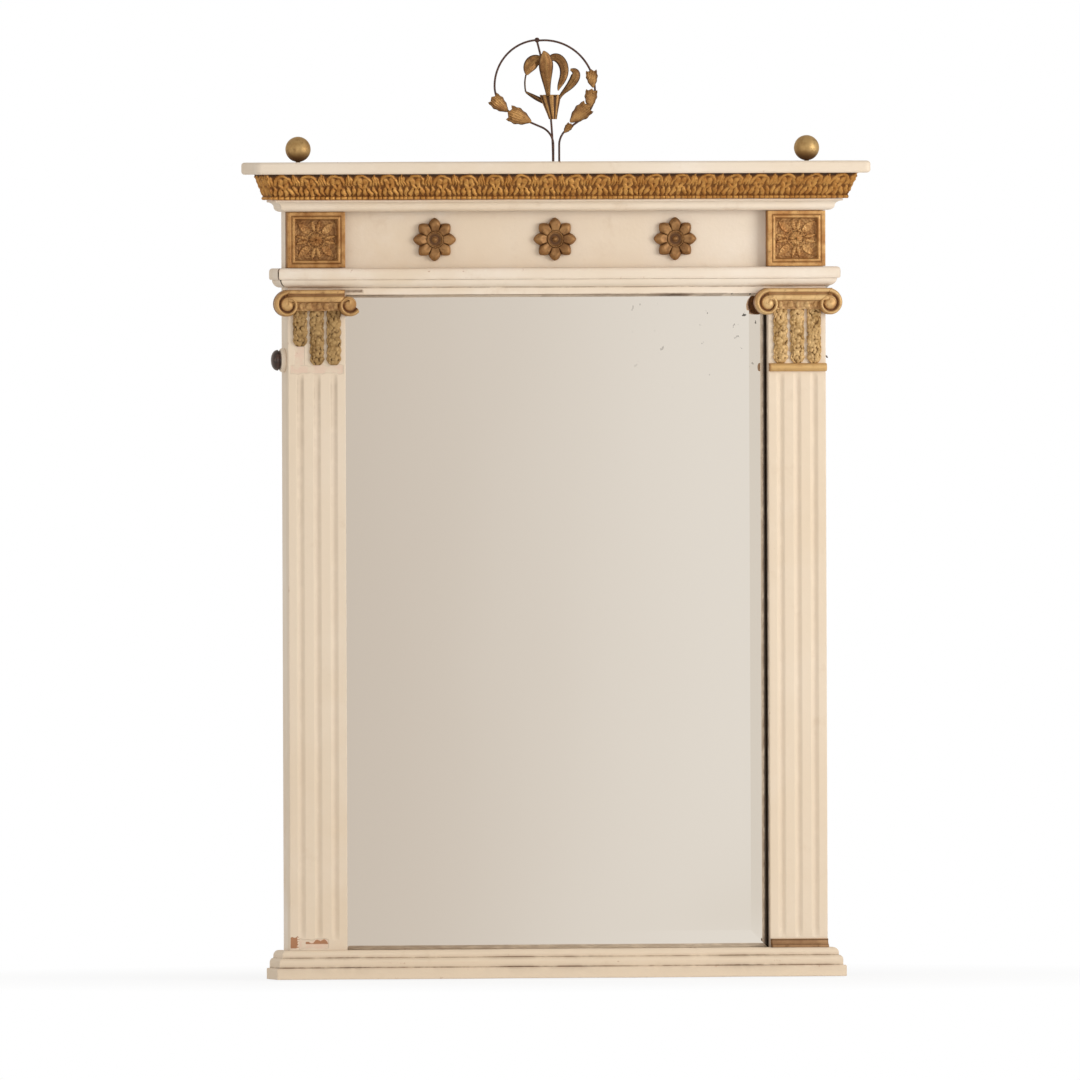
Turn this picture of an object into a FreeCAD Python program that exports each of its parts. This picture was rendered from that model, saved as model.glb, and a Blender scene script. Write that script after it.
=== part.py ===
import FreeCAD
import Part
import math
import os

# Pier mirror: a painted pine wall mirror with two fluted pilasters, gilt carving and a
# bevelled plate, crowned by a finial of wire and gilt sheet leaves.
# Millimetres. +X runs to the viewer's right, +Y into the wall and +Z up. The origin lies
# on the wall plane at the foot of the mirror, on its centre line.

Vector = FreeCAD.Vector

# Mirror plate, and the sight opening that shows it
sight_width = 580.0
sight_height = 880.4
glass_thickness = 6.0
glass_edge_thickness = 3.0
glass_bevel_width = 30.0
glass_play = 1.0          # free space between the plate's edge and its rebate
glass_gap = 0.3           # plate to the strips and blocks that hold it
rebate_width = 8.0        # how far the front pieces stand over the plate's rebate
spacer_thickness = 3.5    # dark strips between the lips and the plate
spacer_width = 4.5
spacer_set_back = 2.0     # from the edge of the sight opening

# Pine carcass behind the painted front
carcass_thickness = 28.0
wall_gap = 10.0           # the carcass stands this far off the wall
tenon_length = 40.0
tenon_thickness = 9.0
tenon_shoulder = 6.0
tenon_play = 0.2
peg_diameter = 8.0
peg_play = 0.1

# Backboards and their nails
plank_count = 3
plank_gap = 1.0
backboard_thickness = 7.0
backboard_lap = 20.0      # the boards lie this far over stiles and rails
nail_head_diameter = 7.0
nail_head_height = 1.2
nail_shank_diameter = 2.2
nail_shank_length = 22.0
nail_play = 0.1
nail_inset = 32.0         # from a plank's long edge to its end nails
side_nail_count = 4

# Glazing blocks that hold the plate forward
block_length = 48.0
block_width = 14.0
block_depth = 16.0
side_block_count = 4
end_block_count = 3

# Pilasters
pilaster_width = 79.0
pilaster_thickness = 16.0
flute_count = 3
flute_spacing = 23.0
flute_width = 9.0
flute_depth = 2.0

# Foot moulding at the bottom of the right pilaster, and the bar under its capital
foot_height = 11.5
foot_projection = 8.0
foot_band = 3.0
foot_neck_projection = 2.5
necking_bar_height = 11.0
necking_bar_projection = 8.0
necking_bar_flat = 2.5

# Base moulding
plinth_height = 15.0
plinth_projection = 21.5
plinth_round = 4.0
base_ovolo_height = 13.5
base_ovolo_projection = 17.5
base_ovolo_band = 7.0
base_cove_height = 10.5
base_cove_projection = 12.5
base_cove_band = 3.0
base_top_projection = 5.0

# Architrave
fascia_height = 10.2
ovolo_height = 10.4
ovolo_projection = 13.0
ovolo_quirk = 2.0
crown_band_height = 15.4
crown_band_projection = 17.0
crown_band_round = 2.5

# Frieze
frieze_height = 76.0
frieze_board_thickness = 6.0

# Bed mould, leaf moulding and top board of the cornice
bed_height = 15.6
bed_foot_projection = 1.5
bed_projection = 20.0
bed_fillet_height = 4.0
leaf_height = 34.4
leaf_foot_projection = 26.0
leaf_top_projection = 38.5
leaf_bead_height = 5.0
leaf_bead_projection = 28.0
top_board_thickness = 16.6
top_board_overhang = 52.5
top_board_round = 4.0

# Ionic capitals
capital_drop = 3.2        # from the top of the architrave's fascia
capital_height = 35.6
capital_width = 121.0
capital_depth = 18.0
volute_radius = 17.8
volute_eye_radius = 4.2
volute_channel_width = 3.4
volute_channel_depth = 3.0
capital_band_height = 17.0
capital_band_channel = 4.0
echinus_height = 13.0
echinus_depth = 12.0
egg_count = 3
egg_width = 15.0

# Strings of husks on the necks of the pilasters
husk_string_spacing = 23.0
husk_length = 13.1
husk_radius = 9.6
husk_neck_radius = 5.6
husk_depth = 5.6

# Square corner blocks of the frieze
corner_block_height = 75.0
corner_block_border = 8.0
corner_block_step = 3.4
corner_block_sink = 7.0
corner_flower_radius = 25.0
corner_flower_height = 5.0
corner_boss_radius = 6.0
corner_boss_rise = 3.0

# Round rosettes of the frieze
rosette_radius = 29.0
rosette_spacing = 165.0
rosette_height = 6.0
rosette_ring_radius = 12.5
rosette_ring_height = 8.5
rosette_boss_radius = 5.6

# Gilt balls on the cornice
ball_diameter = 34.0
ball_neck_height = 1.5
ball_neck_diameter = 15.0
ball_spigot_diameter = 9.0
ball_spigot_length = 11.0
spigot_play = 0.15
ball_inset = 20.0         # from the end of the body to the ball's centre
crown_set_back = 27.0     # balls and finial stand this far in front of the wall

# Finial of wire with a gilt flower and leaves
finial_offset = 4.5       # the wires are bundled this far right of the centre line
wire_diameter = 2.8
wire_gap = 0.12
wire_hole_depth = 12.0
wire_hole_play = 0.15
finial_loop_radius = 70.0
finial_knot_radius = 3.4
sheet_thickness = 1.6

# Turned knob on the left side, and the nail left on the right
knob_drop = 87.4          # below the top of the sight opening
knob_diameter = 28.0
knob_projection = 11.5
knob_rim = 3.0
knob_collar_diameter = 32.0
knob_collar_thickness = 6.5
knob_spigot_diameter = 8.0
knob_spigot_length = 24.0
knob_set_back = 29.0      # knob and nail stand this far in front of the wall
pin_drop = 84.4
pin_diameter = 2.0
pin_grip = 15.0
pin_reach = 4.0
pin_bend_radius = 3.0

# Hanging rings on the backs of the stiles
hanger_drop = 119.4       # from the top of the sight opening to the rings' hinge
strap_width = 16.0
strap_length = 60.0
strap_thickness = 1.5
ring_wire_diameter = 4.0
ring_play = 0.35
ring_half_width = 13.0
ring_corner_radius = 3.8
ring_side = 6.0
screw_head_diameter = 7.0
screw_head_height = 1.3
screw_shank_diameter = 3.4
screw_shank_length = 18.0
screw_play = 0.1
screw_first = 14.5
screw_second = 46.0

# Cuts run past the faces that they open by this much
overrun = 2.0

# Round stretches of the mouldings, as a share of the chord that they stand on
quarter_round_share = 0.207
soft_round_share = 0.10
bed_round_share = 0.16
cove_share = -0.15
husk_lip_share = 0.25

# Petals of the carved flowers
petal_count = 8
petal_valley_share = 0.62

# Places and lengths on the finial, as shares of the loop's radius
wire_spread_share = 0.0571
bundle_height_share = 0.3143
calyx_height_share = 0.44
calyx_foot_share = 0.105
calyx_mouth_share = 0.195
stem_radius_share = 8.9
stem_lean_degrees = 15.1
left_wire_shares = [(0.371, 67.0), (0.461, 0.0), (1.071, -22.0), (0.543, -45.0), (0.886, -87.0)]
right_wire_shares = [(0.371, -56.0), (0.314, 0.0), (0.643, 56.0), (0.997, 97.5)]
left_leaf_shares = [(-0.494, 0.76, 158.0, 0.48), (-0.949, 0.959, 140.0, 0.34)]
right_leaf_shares = [
    (0.135, 0.535, 66.0, 0.18),
    (0.267, 0.751, 41.0, 0.43),
    (0.651, 1.017, 85.0, 0.34),
    (0.721, 1.413, 98.0, 0.33),
]
calyx_place_share = (-0.09, 0.80)
tall_petal_shares = [(-0.157, 1.20, 0.0), (-0.19, 1.42, 0.10), (-0.23, 1.72, 0.135), (-0.257, 2.075, 0.0)]
left_petal_shares = [(-0.20, 1.86, 0.0), (-0.43, 1.96, 0.085), (-0.54, 1.80, 0.095), (-0.56, 1.62, 0.0)]
right_petal_shares = [
    (-0.13, 1.98, 0.0),
    (0.05, 2.00, 0.075),
    (0.145, 1.80, 0.085),
    (0.09, 1.52, 0.07),
    (-0.06, 1.14, 0.0),
]
far_petal_shares = [
    (-0.05, 1.12, 0.0),
    (0.16, 1.32, 0.06),
    (0.34, 1.54, 0.085),
    (0.36, 1.68, 0.07),
    (0.25, 1.72, 0.0),
]
left_sepal_shares = [(-0.16, 1.08, 0.0), (-0.42, 1.26, 0.045), (-0.59, 1.36, 0.0)]
leaf_outline_shares = [
    (0.0, 0.0),
    (0.30, 0.17),
    (0.66, 0.27),
    (1.0, 0.30),
    (0.86, 0.13),
    (1.08, 0.0),
    (0.86, -0.13),
    (1.0, -0.30),
    (0.66, -0.27),
    (0.30, -0.17),
]

# Pieces of carving that the object has lost
left_husk_counts = (3, 5, 5)
right_husk_counts = (5, 5, 5)
broken_volute_core_share = 0.48

# Planes and heights that several pieces share
half_sight = sight_width / 2
outer_half = half_sight + pilaster_width
stile_inner = half_sight + rebate_width
back_y = -wall_gap
lip_y = back_y - carcass_thickness
face_y = lip_y - pilaster_thickness
base_top = plinth_height + base_ovolo_height + base_cove_height
sight_top = base_top + sight_height
architrave_top = sight_top + fascia_height + ovolo_height + crown_band_height
frieze_top = architrave_top + frieze_height
bed_top = frieze_top + bed_height
leaf_top = bed_top + leaf_height
board_top = leaf_top + top_board_thickness
knob_height = sight_top - knob_drop
pin_height = sight_top - pin_drop
hanger_height = sight_top - hanger_drop
capital_top = sight_top + fascia_height - capital_drop
capital_foot = capital_top - capital_height
necking_top = capital_foot - husk_length * max(right_husk_counts)
necking_foot = necking_top - necking_bar_height
bottom_rail_top = base_top - rebate_width
top_rail_foot = sight_top + rebate_width
frieze_back = lip_y + frieze_board_thickness
pilaster_centre = half_sight + pilaster_width / 2
crown_y = -crown_set_back
wire_radius = wire_diameter / 2
wire_spread = wire_spread_share * finial_loop_radius
bundle_height = bundle_height_share * finial_loop_radius
calyx_height = calyx_height_share * finial_loop_radius
calyx_foot_radius = calyx_foot_share * finial_loop_radius
calyx_mouth_radius = calyx_mouth_share * finial_loop_radius
bore_radius = ring_wire_diameter / 2 + ring_play
hinge_y = back_y + strap_thickness + bore_radius
boards_edge = stile_inner + backboard_lap
hanger_x = (boards_edge + outer_half) / 2    # the middle of a stile's back beside the boards


def block(x, y, z):
    """A box over three spans, each a low and a high value."""
    return Part.makeBox(x[1] - x[0], y[1] - y[0], z[1] - z[0], Vector(x[0], y[0], z[0]))


def pole(diameter, foot, direction, length):
    """A round bar that starts at a point and runs along a direction."""
    return Part.makeCylinder(diameter / 2, length, foot, direction)


def bulge(start, end, share):
    """An arc step to a point, standing off its chord by a share of the chord's length."""
    along = (end[0] - start[0], end[1] - start[1])
    middle = ((start[0] + end[0]) / 2, (start[1] + end[1]) / 2)
    return ((middle[0] + along[1] * share, middle[1] - along[0] * share), end)


def closed_face(place, outline):
    """A flat face inside an outline of points and arc steps, set in space by a function."""
    edges = []
    here = outline[0]
    for step in outline[1:] + outline[:1]:
        if isinstance(step[0], tuple):
            via, there = step
            edges.append(Part.Arc(place(here), place(via), place(there)).toShape())
        else:
            there = step
            edges.append(Part.LineSegment(place(here), place(there)).toShape())
        here = there
    return Part.Face(Part.Wire(edges))


def upright(y):
    """Sets an outline of X and Z values on the plane at a depth."""
    return lambda point: Vector(point[0], y, point[1])


def mirrored(shape):
    """The shape's partner on the other side of the centre line."""
    return shape.mirror(Vector(), Vector(1, 0, 0))


def joined(shapes):
    """One solid from shapes that touch or overlap."""
    return shapes[0].fuse(shapes[1:]).removeSplitter()


def cut_all(solid, cutters):
    """The solid less every cutter."""
    return solid.cut(Part.makeCompound(cutters))


def rod(diameter, y, start, heading, moves):
    """Wire in an upright plane: each move is a straight length, or a bend of a radius and an angle."""
    pieces = []
    here = start
    for size, turn in moves:
        ahead = (math.cos(math.radians(heading)), math.sin(math.radians(heading)))
        circle = Part.makeCircle(diameter / 2, Vector(here[0], y, here[1]), Vector(ahead[0], 0, ahead[1]))
        disc = Part.Face(Part.Wire(circle))
        if turn == 0:
            pieces.append(disc.extrude(Vector(ahead[0] * size, 0, ahead[1] * size)))
            here = (here[0] + ahead[0] * size, here[1] + ahead[1] * size)
        else:
            side = math.copysign(size, turn)
            centre = (here[0] - ahead[1] * side, here[1] + ahead[0] * side)
            pieces.append(disc.revolve(Vector(centre[0], y, centre[1]), Vector(0, -1, 0), turn))
            heading += turn
            here = (
                centre[0] + math.sin(math.radians(heading)) * side,
                centre[1] - math.cos(math.radians(heading)) * side,
            )
    return joined(pieces), here


def mitre_beyond():
    """What lies past the mitre planes of a front moulding, at both ends."""
    reach = top_board_overhang + overrun
    corner = [
        (outer_half, 0.0),
        (outer_half, face_y),
        (outer_half + reach, face_y - reach),
        (outer_half + reach, 0.0),
    ]
    face = closed_face(lambda point: Vector(point[0], point[1], -overrun), corner)
    right = face.extrude(Vector(0, 0, board_top))
    return [right, mirrored(right)]


def front_moulding(outline, foot):
    """A moulding across the front, mitred at both ends; outlines hold projections and heights."""
    reach = outer_half + top_board_overhang
    face = closed_face(lambda point: Vector(-reach, face_y - point[0], foot + point[1]), outline)
    return cut_all(face.extrude(Vector(2 * reach, 0, 0)), mitre_beyond())


def right_return(outline, foot, end_y):
    """The moulding's return along the right side, from its mitre to the back."""
    reach = top_board_overhang + overrun
    start_y = face_y - reach
    face = closed_face(lambda point: Vector(outer_half + point[0], start_y, foot + point[1]), outline)
    bar = face.extrude(Vector(0, end_y - start_y, 0))
    corner = [(outer_half, face_y), (outer_half + reach, start_y), (outer_half, start_y)]
    wedge = closed_face(lambda point: Vector(point[0], point[1], -overrun), corner)
    return bar.cut(wedge.extrude(Vector(0, 0, board_top)))


def base_outline(back):
    """Plinth, quarter round and cove of the base, over a back at a projection."""
    plinth_edge = plinth_height - plinth_round
    ovolo_edge = plinth_height + base_ovolo_band
    cove_foot = plinth_height + base_ovolo_height
    cove_edge = cove_foot + base_cove_band
    return [
        (back, 0.0),
        (plinth_projection, 0.0),
        (plinth_projection, plinth_edge),
        bulge((plinth_projection, plinth_edge), (base_ovolo_projection, plinth_height), quarter_round_share),
        (base_ovolo_projection, ovolo_edge),
        bulge((base_ovolo_projection, ovolo_edge), (base_cove_projection, cove_foot), quarter_round_share),
        (base_cove_projection, cove_edge),
        bulge((base_cove_projection, cove_edge), (base_top_projection, base_top), quarter_round_share),
        (back, base_top),
    ]


def architrave_outline(back):
    """Flat lower fascia, quarter round and soft-edged upper band."""
    ovolo_foot = (ovolo_quirk, fascia_height)
    ovolo_head = (ovolo_projection, fascia_height + ovolo_height)
    top = fascia_height + ovolo_height + crown_band_height
    inner = crown_band_projection - crown_band_round
    low_edge = (crown_band_projection, ovolo_head[1] + crown_band_round)
    high_edge = (crown_band_projection, top - crown_band_round)
    return [
        (back, 0.0),
        (0.0, 0.0),
        (0.0, fascia_height),
        ovolo_foot,
        bulge(ovolo_foot, ovolo_head, quarter_round_share),
        (inner, ovolo_head[1]),
        bulge((inner, ovolo_head[1]), low_edge, quarter_round_share),
        high_edge,
        bulge(high_edge, (inner, top), quarter_round_share),
        (back, top),
    ]


def architrave_side_outline():
    """The same section without the lower fascia, which is flush with the body's sides."""
    whole = architrave_outline(0.0)
    return [(0.0, fascia_height)] + whole[3:]


def bed_outline():
    """Quarter round under a flat fillet."""
    head = (bed_projection, bed_height - bed_fillet_height)
    return [
        (0.0, 0.0),
        (bed_foot_projection, 0.0),
        bulge((bed_foot_projection, 0.0), head, bed_round_share),
        (bed_projection, bed_height),
        (0.0, bed_height),
    ]


def leaf_outline():
    """Bead at the foot and a face that leans out to the top board."""
    foot = (leaf_foot_projection, leaf_bead_height)
    head = (leaf_top_projection, leaf_height)
    return [
        (0.0, 0.0),
        (leaf_bead_projection, 0.0),
        bulge((leaf_bead_projection, 0.0), (leaf_bead_projection, leaf_bead_height), quarter_round_share),
        foot,
        bulge(foot, head, soft_round_share),
        (0.0, leaf_height),
    ]


def peg_feet():
    """Where pegs enter the back of the right stile: two in the upper joint, one in the lower."""
    x = stile_inner + tenon_length / 2
    rail_height = frieze_top - top_rail_foot
    heights = [bottom_rail_top / 2, top_rail_foot + rail_height / 3, frieze_top - rail_height / 3]
    return [Vector(x, back_y, z) for z in heights]


def peg_holes():
    """Holes for the pegs of the right-hand joints."""
    bore = peg_diameter + 2 * peg_play
    return [pole(bore, foot, Vector(0, -1, 0), carcass_thickness) for foot in peg_feet()]


def tenon(span_z, grow):
    """A rail's tenon on the right, or its mortise when grown by the play."""
    middle = back_y - (carcass_thickness - frieze_board_thickness) / 2
    half = tenon_thickness / 2 + grow
    return block(
        (stile_inner, stile_inner + tenon_length + grow),
        (middle - half, middle + half),
        (span_z[0] + tenon_shoulder - grow, span_z[1] - tenon_shoulder + grow),
    )


def rail(span_z, front_y):
    """A cross rail of the carcass with a tenon at each end, drilled for its pegs."""
    body = block((-stile_inner, stile_inner), (front_y, back_y), span_z)
    end = tenon(span_z, 0.0)
    whole = joined([body, end, mirrored(end)])
    return cut_all(whole, peg_holes() + [mirrored(hole) for hole in peg_holes()])


def plank_span(index):
    """The X span of one backboard plank."""
    full = 2 * boards_edge
    width = (full - (plank_count - 1) * plank_gap) / plank_count
    low = index * (width + plank_gap) - full / 2
    return (low, low + width)


def nail_feet():
    """Where nails enter the backboards: across each plank's ends and down both stiles."""
    feet = []
    low = bottom_rail_top - backboard_lap / 2
    high = top_rail_foot + backboard_lap / 2
    for index in range(plank_count):
        span = plank_span(index)
        for x in (span[0] + nail_inset, span[1] - nail_inset):
            feet += [(x, low), (x, high)]
    side_x = stile_inner + backboard_lap / 2
    step = (high - low) / (side_nail_count + 1)
    for index in range(side_nail_count):
        z = low + (index + 1) * step
        feet += [(-side_x, z), (side_x, z)]
    return feet


def nail(foot):
    """A round-headed nail through a plank into the carcass."""
    outer = Vector(foot[0], back_y + backboard_thickness, foot[1])
    head = pole(nail_head_diameter, outer, Vector(0, 1, 0), nail_head_height)
    shank = pole(nail_shank_diameter, outer, Vector(0, -1, 0), nail_shank_length)
    return joined([head, shank])


def nail_holes():
    """Clearance for every nail's shank."""
    outer_y = back_y + backboard_thickness
    width = nail_shank_diameter + 2 * nail_play
    depth = nail_shank_length + glass_play
    return [pole(width, Vector(x, outer_y, z), Vector(0, -1, 0), depth) for x, z in nail_feet()]


def screw_feet(side):
    """Where a hanger's two screws enter the stile on one side."""
    x = side * hanger_x
    return [Vector(x, back_y, hanger_height - drop) for drop in (screw_first, screw_second)]


def screw_holes(side):
    """Clearance for a hanger's screws through strap and stile."""
    width = screw_shank_diameter + 2 * screw_play
    depth = screw_shank_length + strap_thickness + screw_play
    lift = Vector(0, strap_thickness, 0)
    return [pole(width, foot + lift, Vector(0, -1, 0), depth) for foot in screw_feet(side)]


def stile(side):
    """An upright of the carcass: mortised, pegged and drilled for what is fixed to it."""
    right = block((stile_inner, outer_half), (lip_y, back_y), (0.0, frieze_top))
    mortises = [
        tenon((0.0, bottom_rail_top), tenon_play),
        tenon((top_rail_foot, frieze_top), tenon_play),
    ]
    right = cut_all(right, mortises + peg_holes())
    body = right if side > 0 else mirrored(right)
    return cut_all(body, nail_holes() + screw_holes(side) + [side_hole(side)])


def side_hole(side):
    """The bore for the knob's spigot on the left, or for the pin on the right."""
    middle = -knob_set_back
    if side > 0:
        start = Vector(outer_half, middle, pin_height)
        return pole(pin_diameter + 2 * nail_play, start, Vector(-1, 0, 0), pin_grip + nail_play)
    start = Vector(-outer_half, middle, knob_height)
    depth = knob_spigot_length - knob_collar_thickness + spigot_play
    return pole(knob_spigot_diameter + 2 * spigot_play, start, Vector(1, 0, 0), depth)


def mirror_plate():
    """Plate with a wide ground bevel round its front edge, pressed against the lips."""
    half = stile_inner - glass_play
    low = bottom_rail_top + glass_play
    high = top_rail_foot - glass_play
    slope = (glass_thickness - glass_edge_thickness) / glass_bevel_width
    drop = slope * (glass_bevel_width - rebate_width + glass_play + spacer_set_back)
    front = lip_y + spacer_thickness + glass_gap - drop
    shoulder = front + glass_thickness - glass_edge_thickness
    edge = [(-half, low), (half, low), (half, high), (-half, high)]
    inner = half - glass_bevel_width
    flat = [
        (-inner, low + glass_bevel_width),
        (inner, low + glass_bevel_width),
        (inner, high - glass_bevel_width),
        (-inner, high - glass_bevel_width),
    ]
    slab = closed_face(upright(shoulder), edge).extrude(Vector(0, glass_edge_thickness, 0))
    wires = [closed_face(upright(shoulder), edge).OuterWire, closed_face(upright(front), flat).OuterWire]
    bevel = Part.makeLoft(wires, True, True)
    return joined([slab, bevel]), front + glass_thickness


def glass_spacers():
    """Dark strips round the sight opening that keep the plate off the lips."""
    inner = half_sight + spacer_set_back
    outer = inner + spacer_width
    depth = (lip_y, lip_y + spacer_thickness)
    low = base_top - spacer_set_back
    high = sight_top + spacer_set_back
    strips = [
        block((-outer, outer), depth, (low - spacer_width, low)),
        block((-outer, outer), depth, (high, high + spacer_width)),
        block((inner, outer), depth, (low, high)),
        block((-outer, -inner), depth, (low, high)),
    ]
    return Part.makeCompound(strips)


def glazing_blocks(glass_back):
    """Pine blocks glued into the corner between the carcass and the back of the plate."""
    depth = (glass_back + glass_gap, glass_back + glass_gap + block_depth)
    blocks = []
    step = (top_rail_foot - bottom_rail_top) / side_block_count
    for index in range(side_block_count):
        z = bottom_rail_top + (index + 1 / 2) * step
        span = (z - block_length / 2, z + block_length / 2)
        blocks.append(block((stile_inner - block_width, stile_inner), depth, span))
        blocks.append(block((-stile_inner, block_width - stile_inner), depth, span))
    step = 2 * stile_inner / end_block_count
    for index in range(end_block_count):
        x = (index + 1 / 2) * step - stile_inner
        span = (x - block_length / 2, x + block_length / 2)
        blocks.append(block(span, depth, (bottom_rail_top, bottom_rail_top + block_width)))
        blocks.append(block(span, depth, (top_rail_foot - block_width, top_rail_foot)))
    return Part.makeCompound(blocks)


def pilaster():
    """The right pilaster board, with stopped flutes between its foot and its necking."""
    board = block((half_sight, outer_half), (face_y, lip_y), (base_top, sight_top))
    radius = (flute_width ** 2 / 4 + flute_depth ** 2) / (2 * flute_depth)
    centre_y = face_y + flute_depth - radius
    flutes = []
    for index in range(flute_count):
        x = pilaster_centre + (index - (flute_count - 1) / 2) * flute_spacing
        foot = Vector(x, centre_y, base_top + foot_height)
        flutes.append(pole(2 * radius, foot, Vector(0, 0, 1), necking_foot - base_top - foot_height))
    return cut_all(board, flutes)


def foot_moulding():
    """Gilt cove across the foot of the right pilaster."""
    head = (foot_neck_projection, foot_height)
    outline = [
        (0.0, 0.0),
        (foot_projection, 0.0),
        (foot_projection, foot_band),
        bulge((foot_projection, foot_band), head, cove_share),
        (0.0, foot_height),
    ]
    place = lambda point: Vector(half_sight, face_y - point[0], base_top + point[1])
    return closed_face(place, outline).extrude(Vector(pilaster_width, 0, 0))


def necking_bar():
    """Gilt half round across the right pilaster, under the strings of husks."""
    middle = necking_bar_height / 2
    outline = [
        (0.0, 0.0),
        (necking_bar_flat, 0.0),
        ((necking_bar_projection, middle), (necking_bar_flat, necking_bar_height)),
        (0.0, necking_bar_height),
    ]
    place = lambda point: Vector(half_sight, face_y - point[0], necking_foot + point[1])
    return closed_face(place, outline).extrude(Vector(pilaster_width, 0, 0))


def volute_channel(centre, side):
    """Spiral channel of half rings that close in on the eye."""
    turns = volute_radius - volute_eye_radius
    pitch = turns / 2
    y = face_y - capital_depth
    rings = []
    reach = volute_radius - pitch / 2
    middle = centre[0]
    for index in range(3):
        up = 1 if index % 2 == 0 else -1
        inner = reach - volute_channel_width
        outline = [
            (middle + reach, centre[1]),
            ((middle, centre[1] + up * reach), (middle - reach, centre[1])),
            (middle - inner, centre[1]),
            ((middle, centre[1] + up * inner), (middle + inner, centre[1])),
        ]
        face = closed_face(upright(y - overrun), outline)
        rings.append(face.extrude(Vector(0, volute_channel_depth + overrun, 0)))
        reach -= pitch / 2
        middle += side * up * pitch / 2
    return rings


def capital():
    """The right Ionic capital: two volutes, a channelled band and three eggs between them."""
    front = face_y - capital_depth
    offset = capital_width / 2 - volute_radius
    volute_z = capital_top - volute_radius
    band = block(
        (pilaster_centre - offset, pilaster_centre + offset),
        (front, face_y),
        (capital_top - capital_band_height, capital_top),
    )
    solids = [band]
    channels = []
    for side in (-1, 1):
        x = pilaster_centre + side * offset
        solids.append(pole(2 * volute_radius, Vector(x, front, volute_z), Vector(0, 1, 0), capital_depth))
        channels += volute_channel((x, volute_z), side)
    egg_y = face_y - echinus_depth
    egg_top = capital_top - capital_band_height
    for index in range(egg_count):
        x = pilaster_centre + (index - (egg_count - 1) / 2) * egg_width
        half = egg_width / 2
        outline = [
            (x - half, egg_top),
            ((x, egg_top - echinus_height), (x + half, egg_top)),
        ]
        solids.append(closed_face(upright(egg_y), outline).extrude(Vector(0, echinus_depth, 0)))
    middle = capital_top - capital_band_height / 2
    reach = offset - volute_radius
    channel = block(
        (pilaster_centre - reach, pilaster_centre + reach),
        (front - overrun, front + volute_channel_depth),
        (middle - capital_band_channel / 2, middle + capital_band_channel / 2),
    )
    return cut_all(joined(solids), channels + [channel])


def broken_turn():
    """The outer turn that is lost from the inner volute of the left capital."""
    x = -pilaster_centre + capital_width / 2 - volute_radius
    z = capital_top - volute_radius
    core = broken_volute_core_share * volute_radius
    edge = volute_radius + overrun
    outline = [
        (x + core, z),
        (x + edge, z),
        (x + edge, z + edge),
        (x, z + edge),
        (x, z + core),
    ]
    face = closed_face(upright(face_y - capital_depth - overrun), outline)
    return face.extrude(Vector(0, capital_depth + 2 * overrun, 0))


def husk_string(x, count):
    """One string of bell-shaped husks, half sunk in the pilaster's face."""
    outline = [(0.0, capital_foot), (husk_neck_radius, capital_foot)]
    z = capital_foot
    for index in range(count):
        low = z - husk_length
        shoulder = (husk_radius, low + husk_length * husk_lip_share)
        outline.append(bulge((husk_neck_radius, z), shoulder, -soft_round_share))
        outline.append((husk_neck_radius, low))
        z = low
    outline.append((0.0, z))
    face = closed_face(lambda point: Vector(x - point[0], face_y, point[1]), outline)
    half = face.revolve(Vector(x, face_y, 0), Vector(0, 0, 1), 180)
    matrix = FreeCAD.Matrix()
    matrix.move(Vector(0, -face_y, 0))
    matrix.scale(1.0, husk_depth / husk_radius, 1.0)
    matrix.move(Vector(0, face_y, 0))
    return half.transformGeometry(matrix)


def husks(centre, counts):
    """Strings of husks side by side on a pilaster's neck."""
    middle = (len(counts) - 1) / 2
    strings = [husk_string(centre + (i - middle) * husk_string_spacing, n) for i, n in enumerate(counts)]
    return Part.makeCompound(strings)


def flower_face(y, centre, radius, valley_share, petals):
    """A flower of pointed petals round a centre."""
    outline = []
    step = 2 * math.pi / petals

    def at(distance, angle):
        return (centre[0] + distance * math.sin(angle), centre[1] + distance * math.cos(angle))

    here = at(radius * valley_share, -step / 2)
    outline.append(here)
    for index in range(petals):
        tip = at(radius, index * step)
        valley = at(radius * valley_share, (index + 1 / 2) * step)
        outline.append(bulge(here, tip, -soft_round_share))
        outline.append(bulge(tip, valley, -soft_round_share))
        here = valley
    outline[-1] = bulge(at(radius, (petals - 1) * step), outline[0], -soft_round_share)
    edges = []
    place = upright(y)
    here = outline[0]
    for via, there in outline[1:]:
        edges.append(Part.Arc(place(here), place(via), place(there)).toShape())
        here = there
    return Part.Face(Part.Wire(edges))


def rosette(x):
    """Round flower of eight petals with a raised ring and a domed boss."""
    ground = lip_y
    centre = (x, (architrave_top + frieze_top) / 2)
    face = flower_face(ground, centre, rosette_radius, petal_valley_share, petal_count)
    petals = face.extrude(Vector(0, -rosette_height, 0))
    middle = Vector(centre[0], ground, centre[1])
    ring = pole(2 * rosette_ring_radius, middle, Vector(0, -1, 0), rosette_ring_height)
    boss = Part.makeSphere(rosette_boss_radius, middle + Vector(0, -rosette_ring_height, 0))
    return joined([petals, ring, boss])


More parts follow.
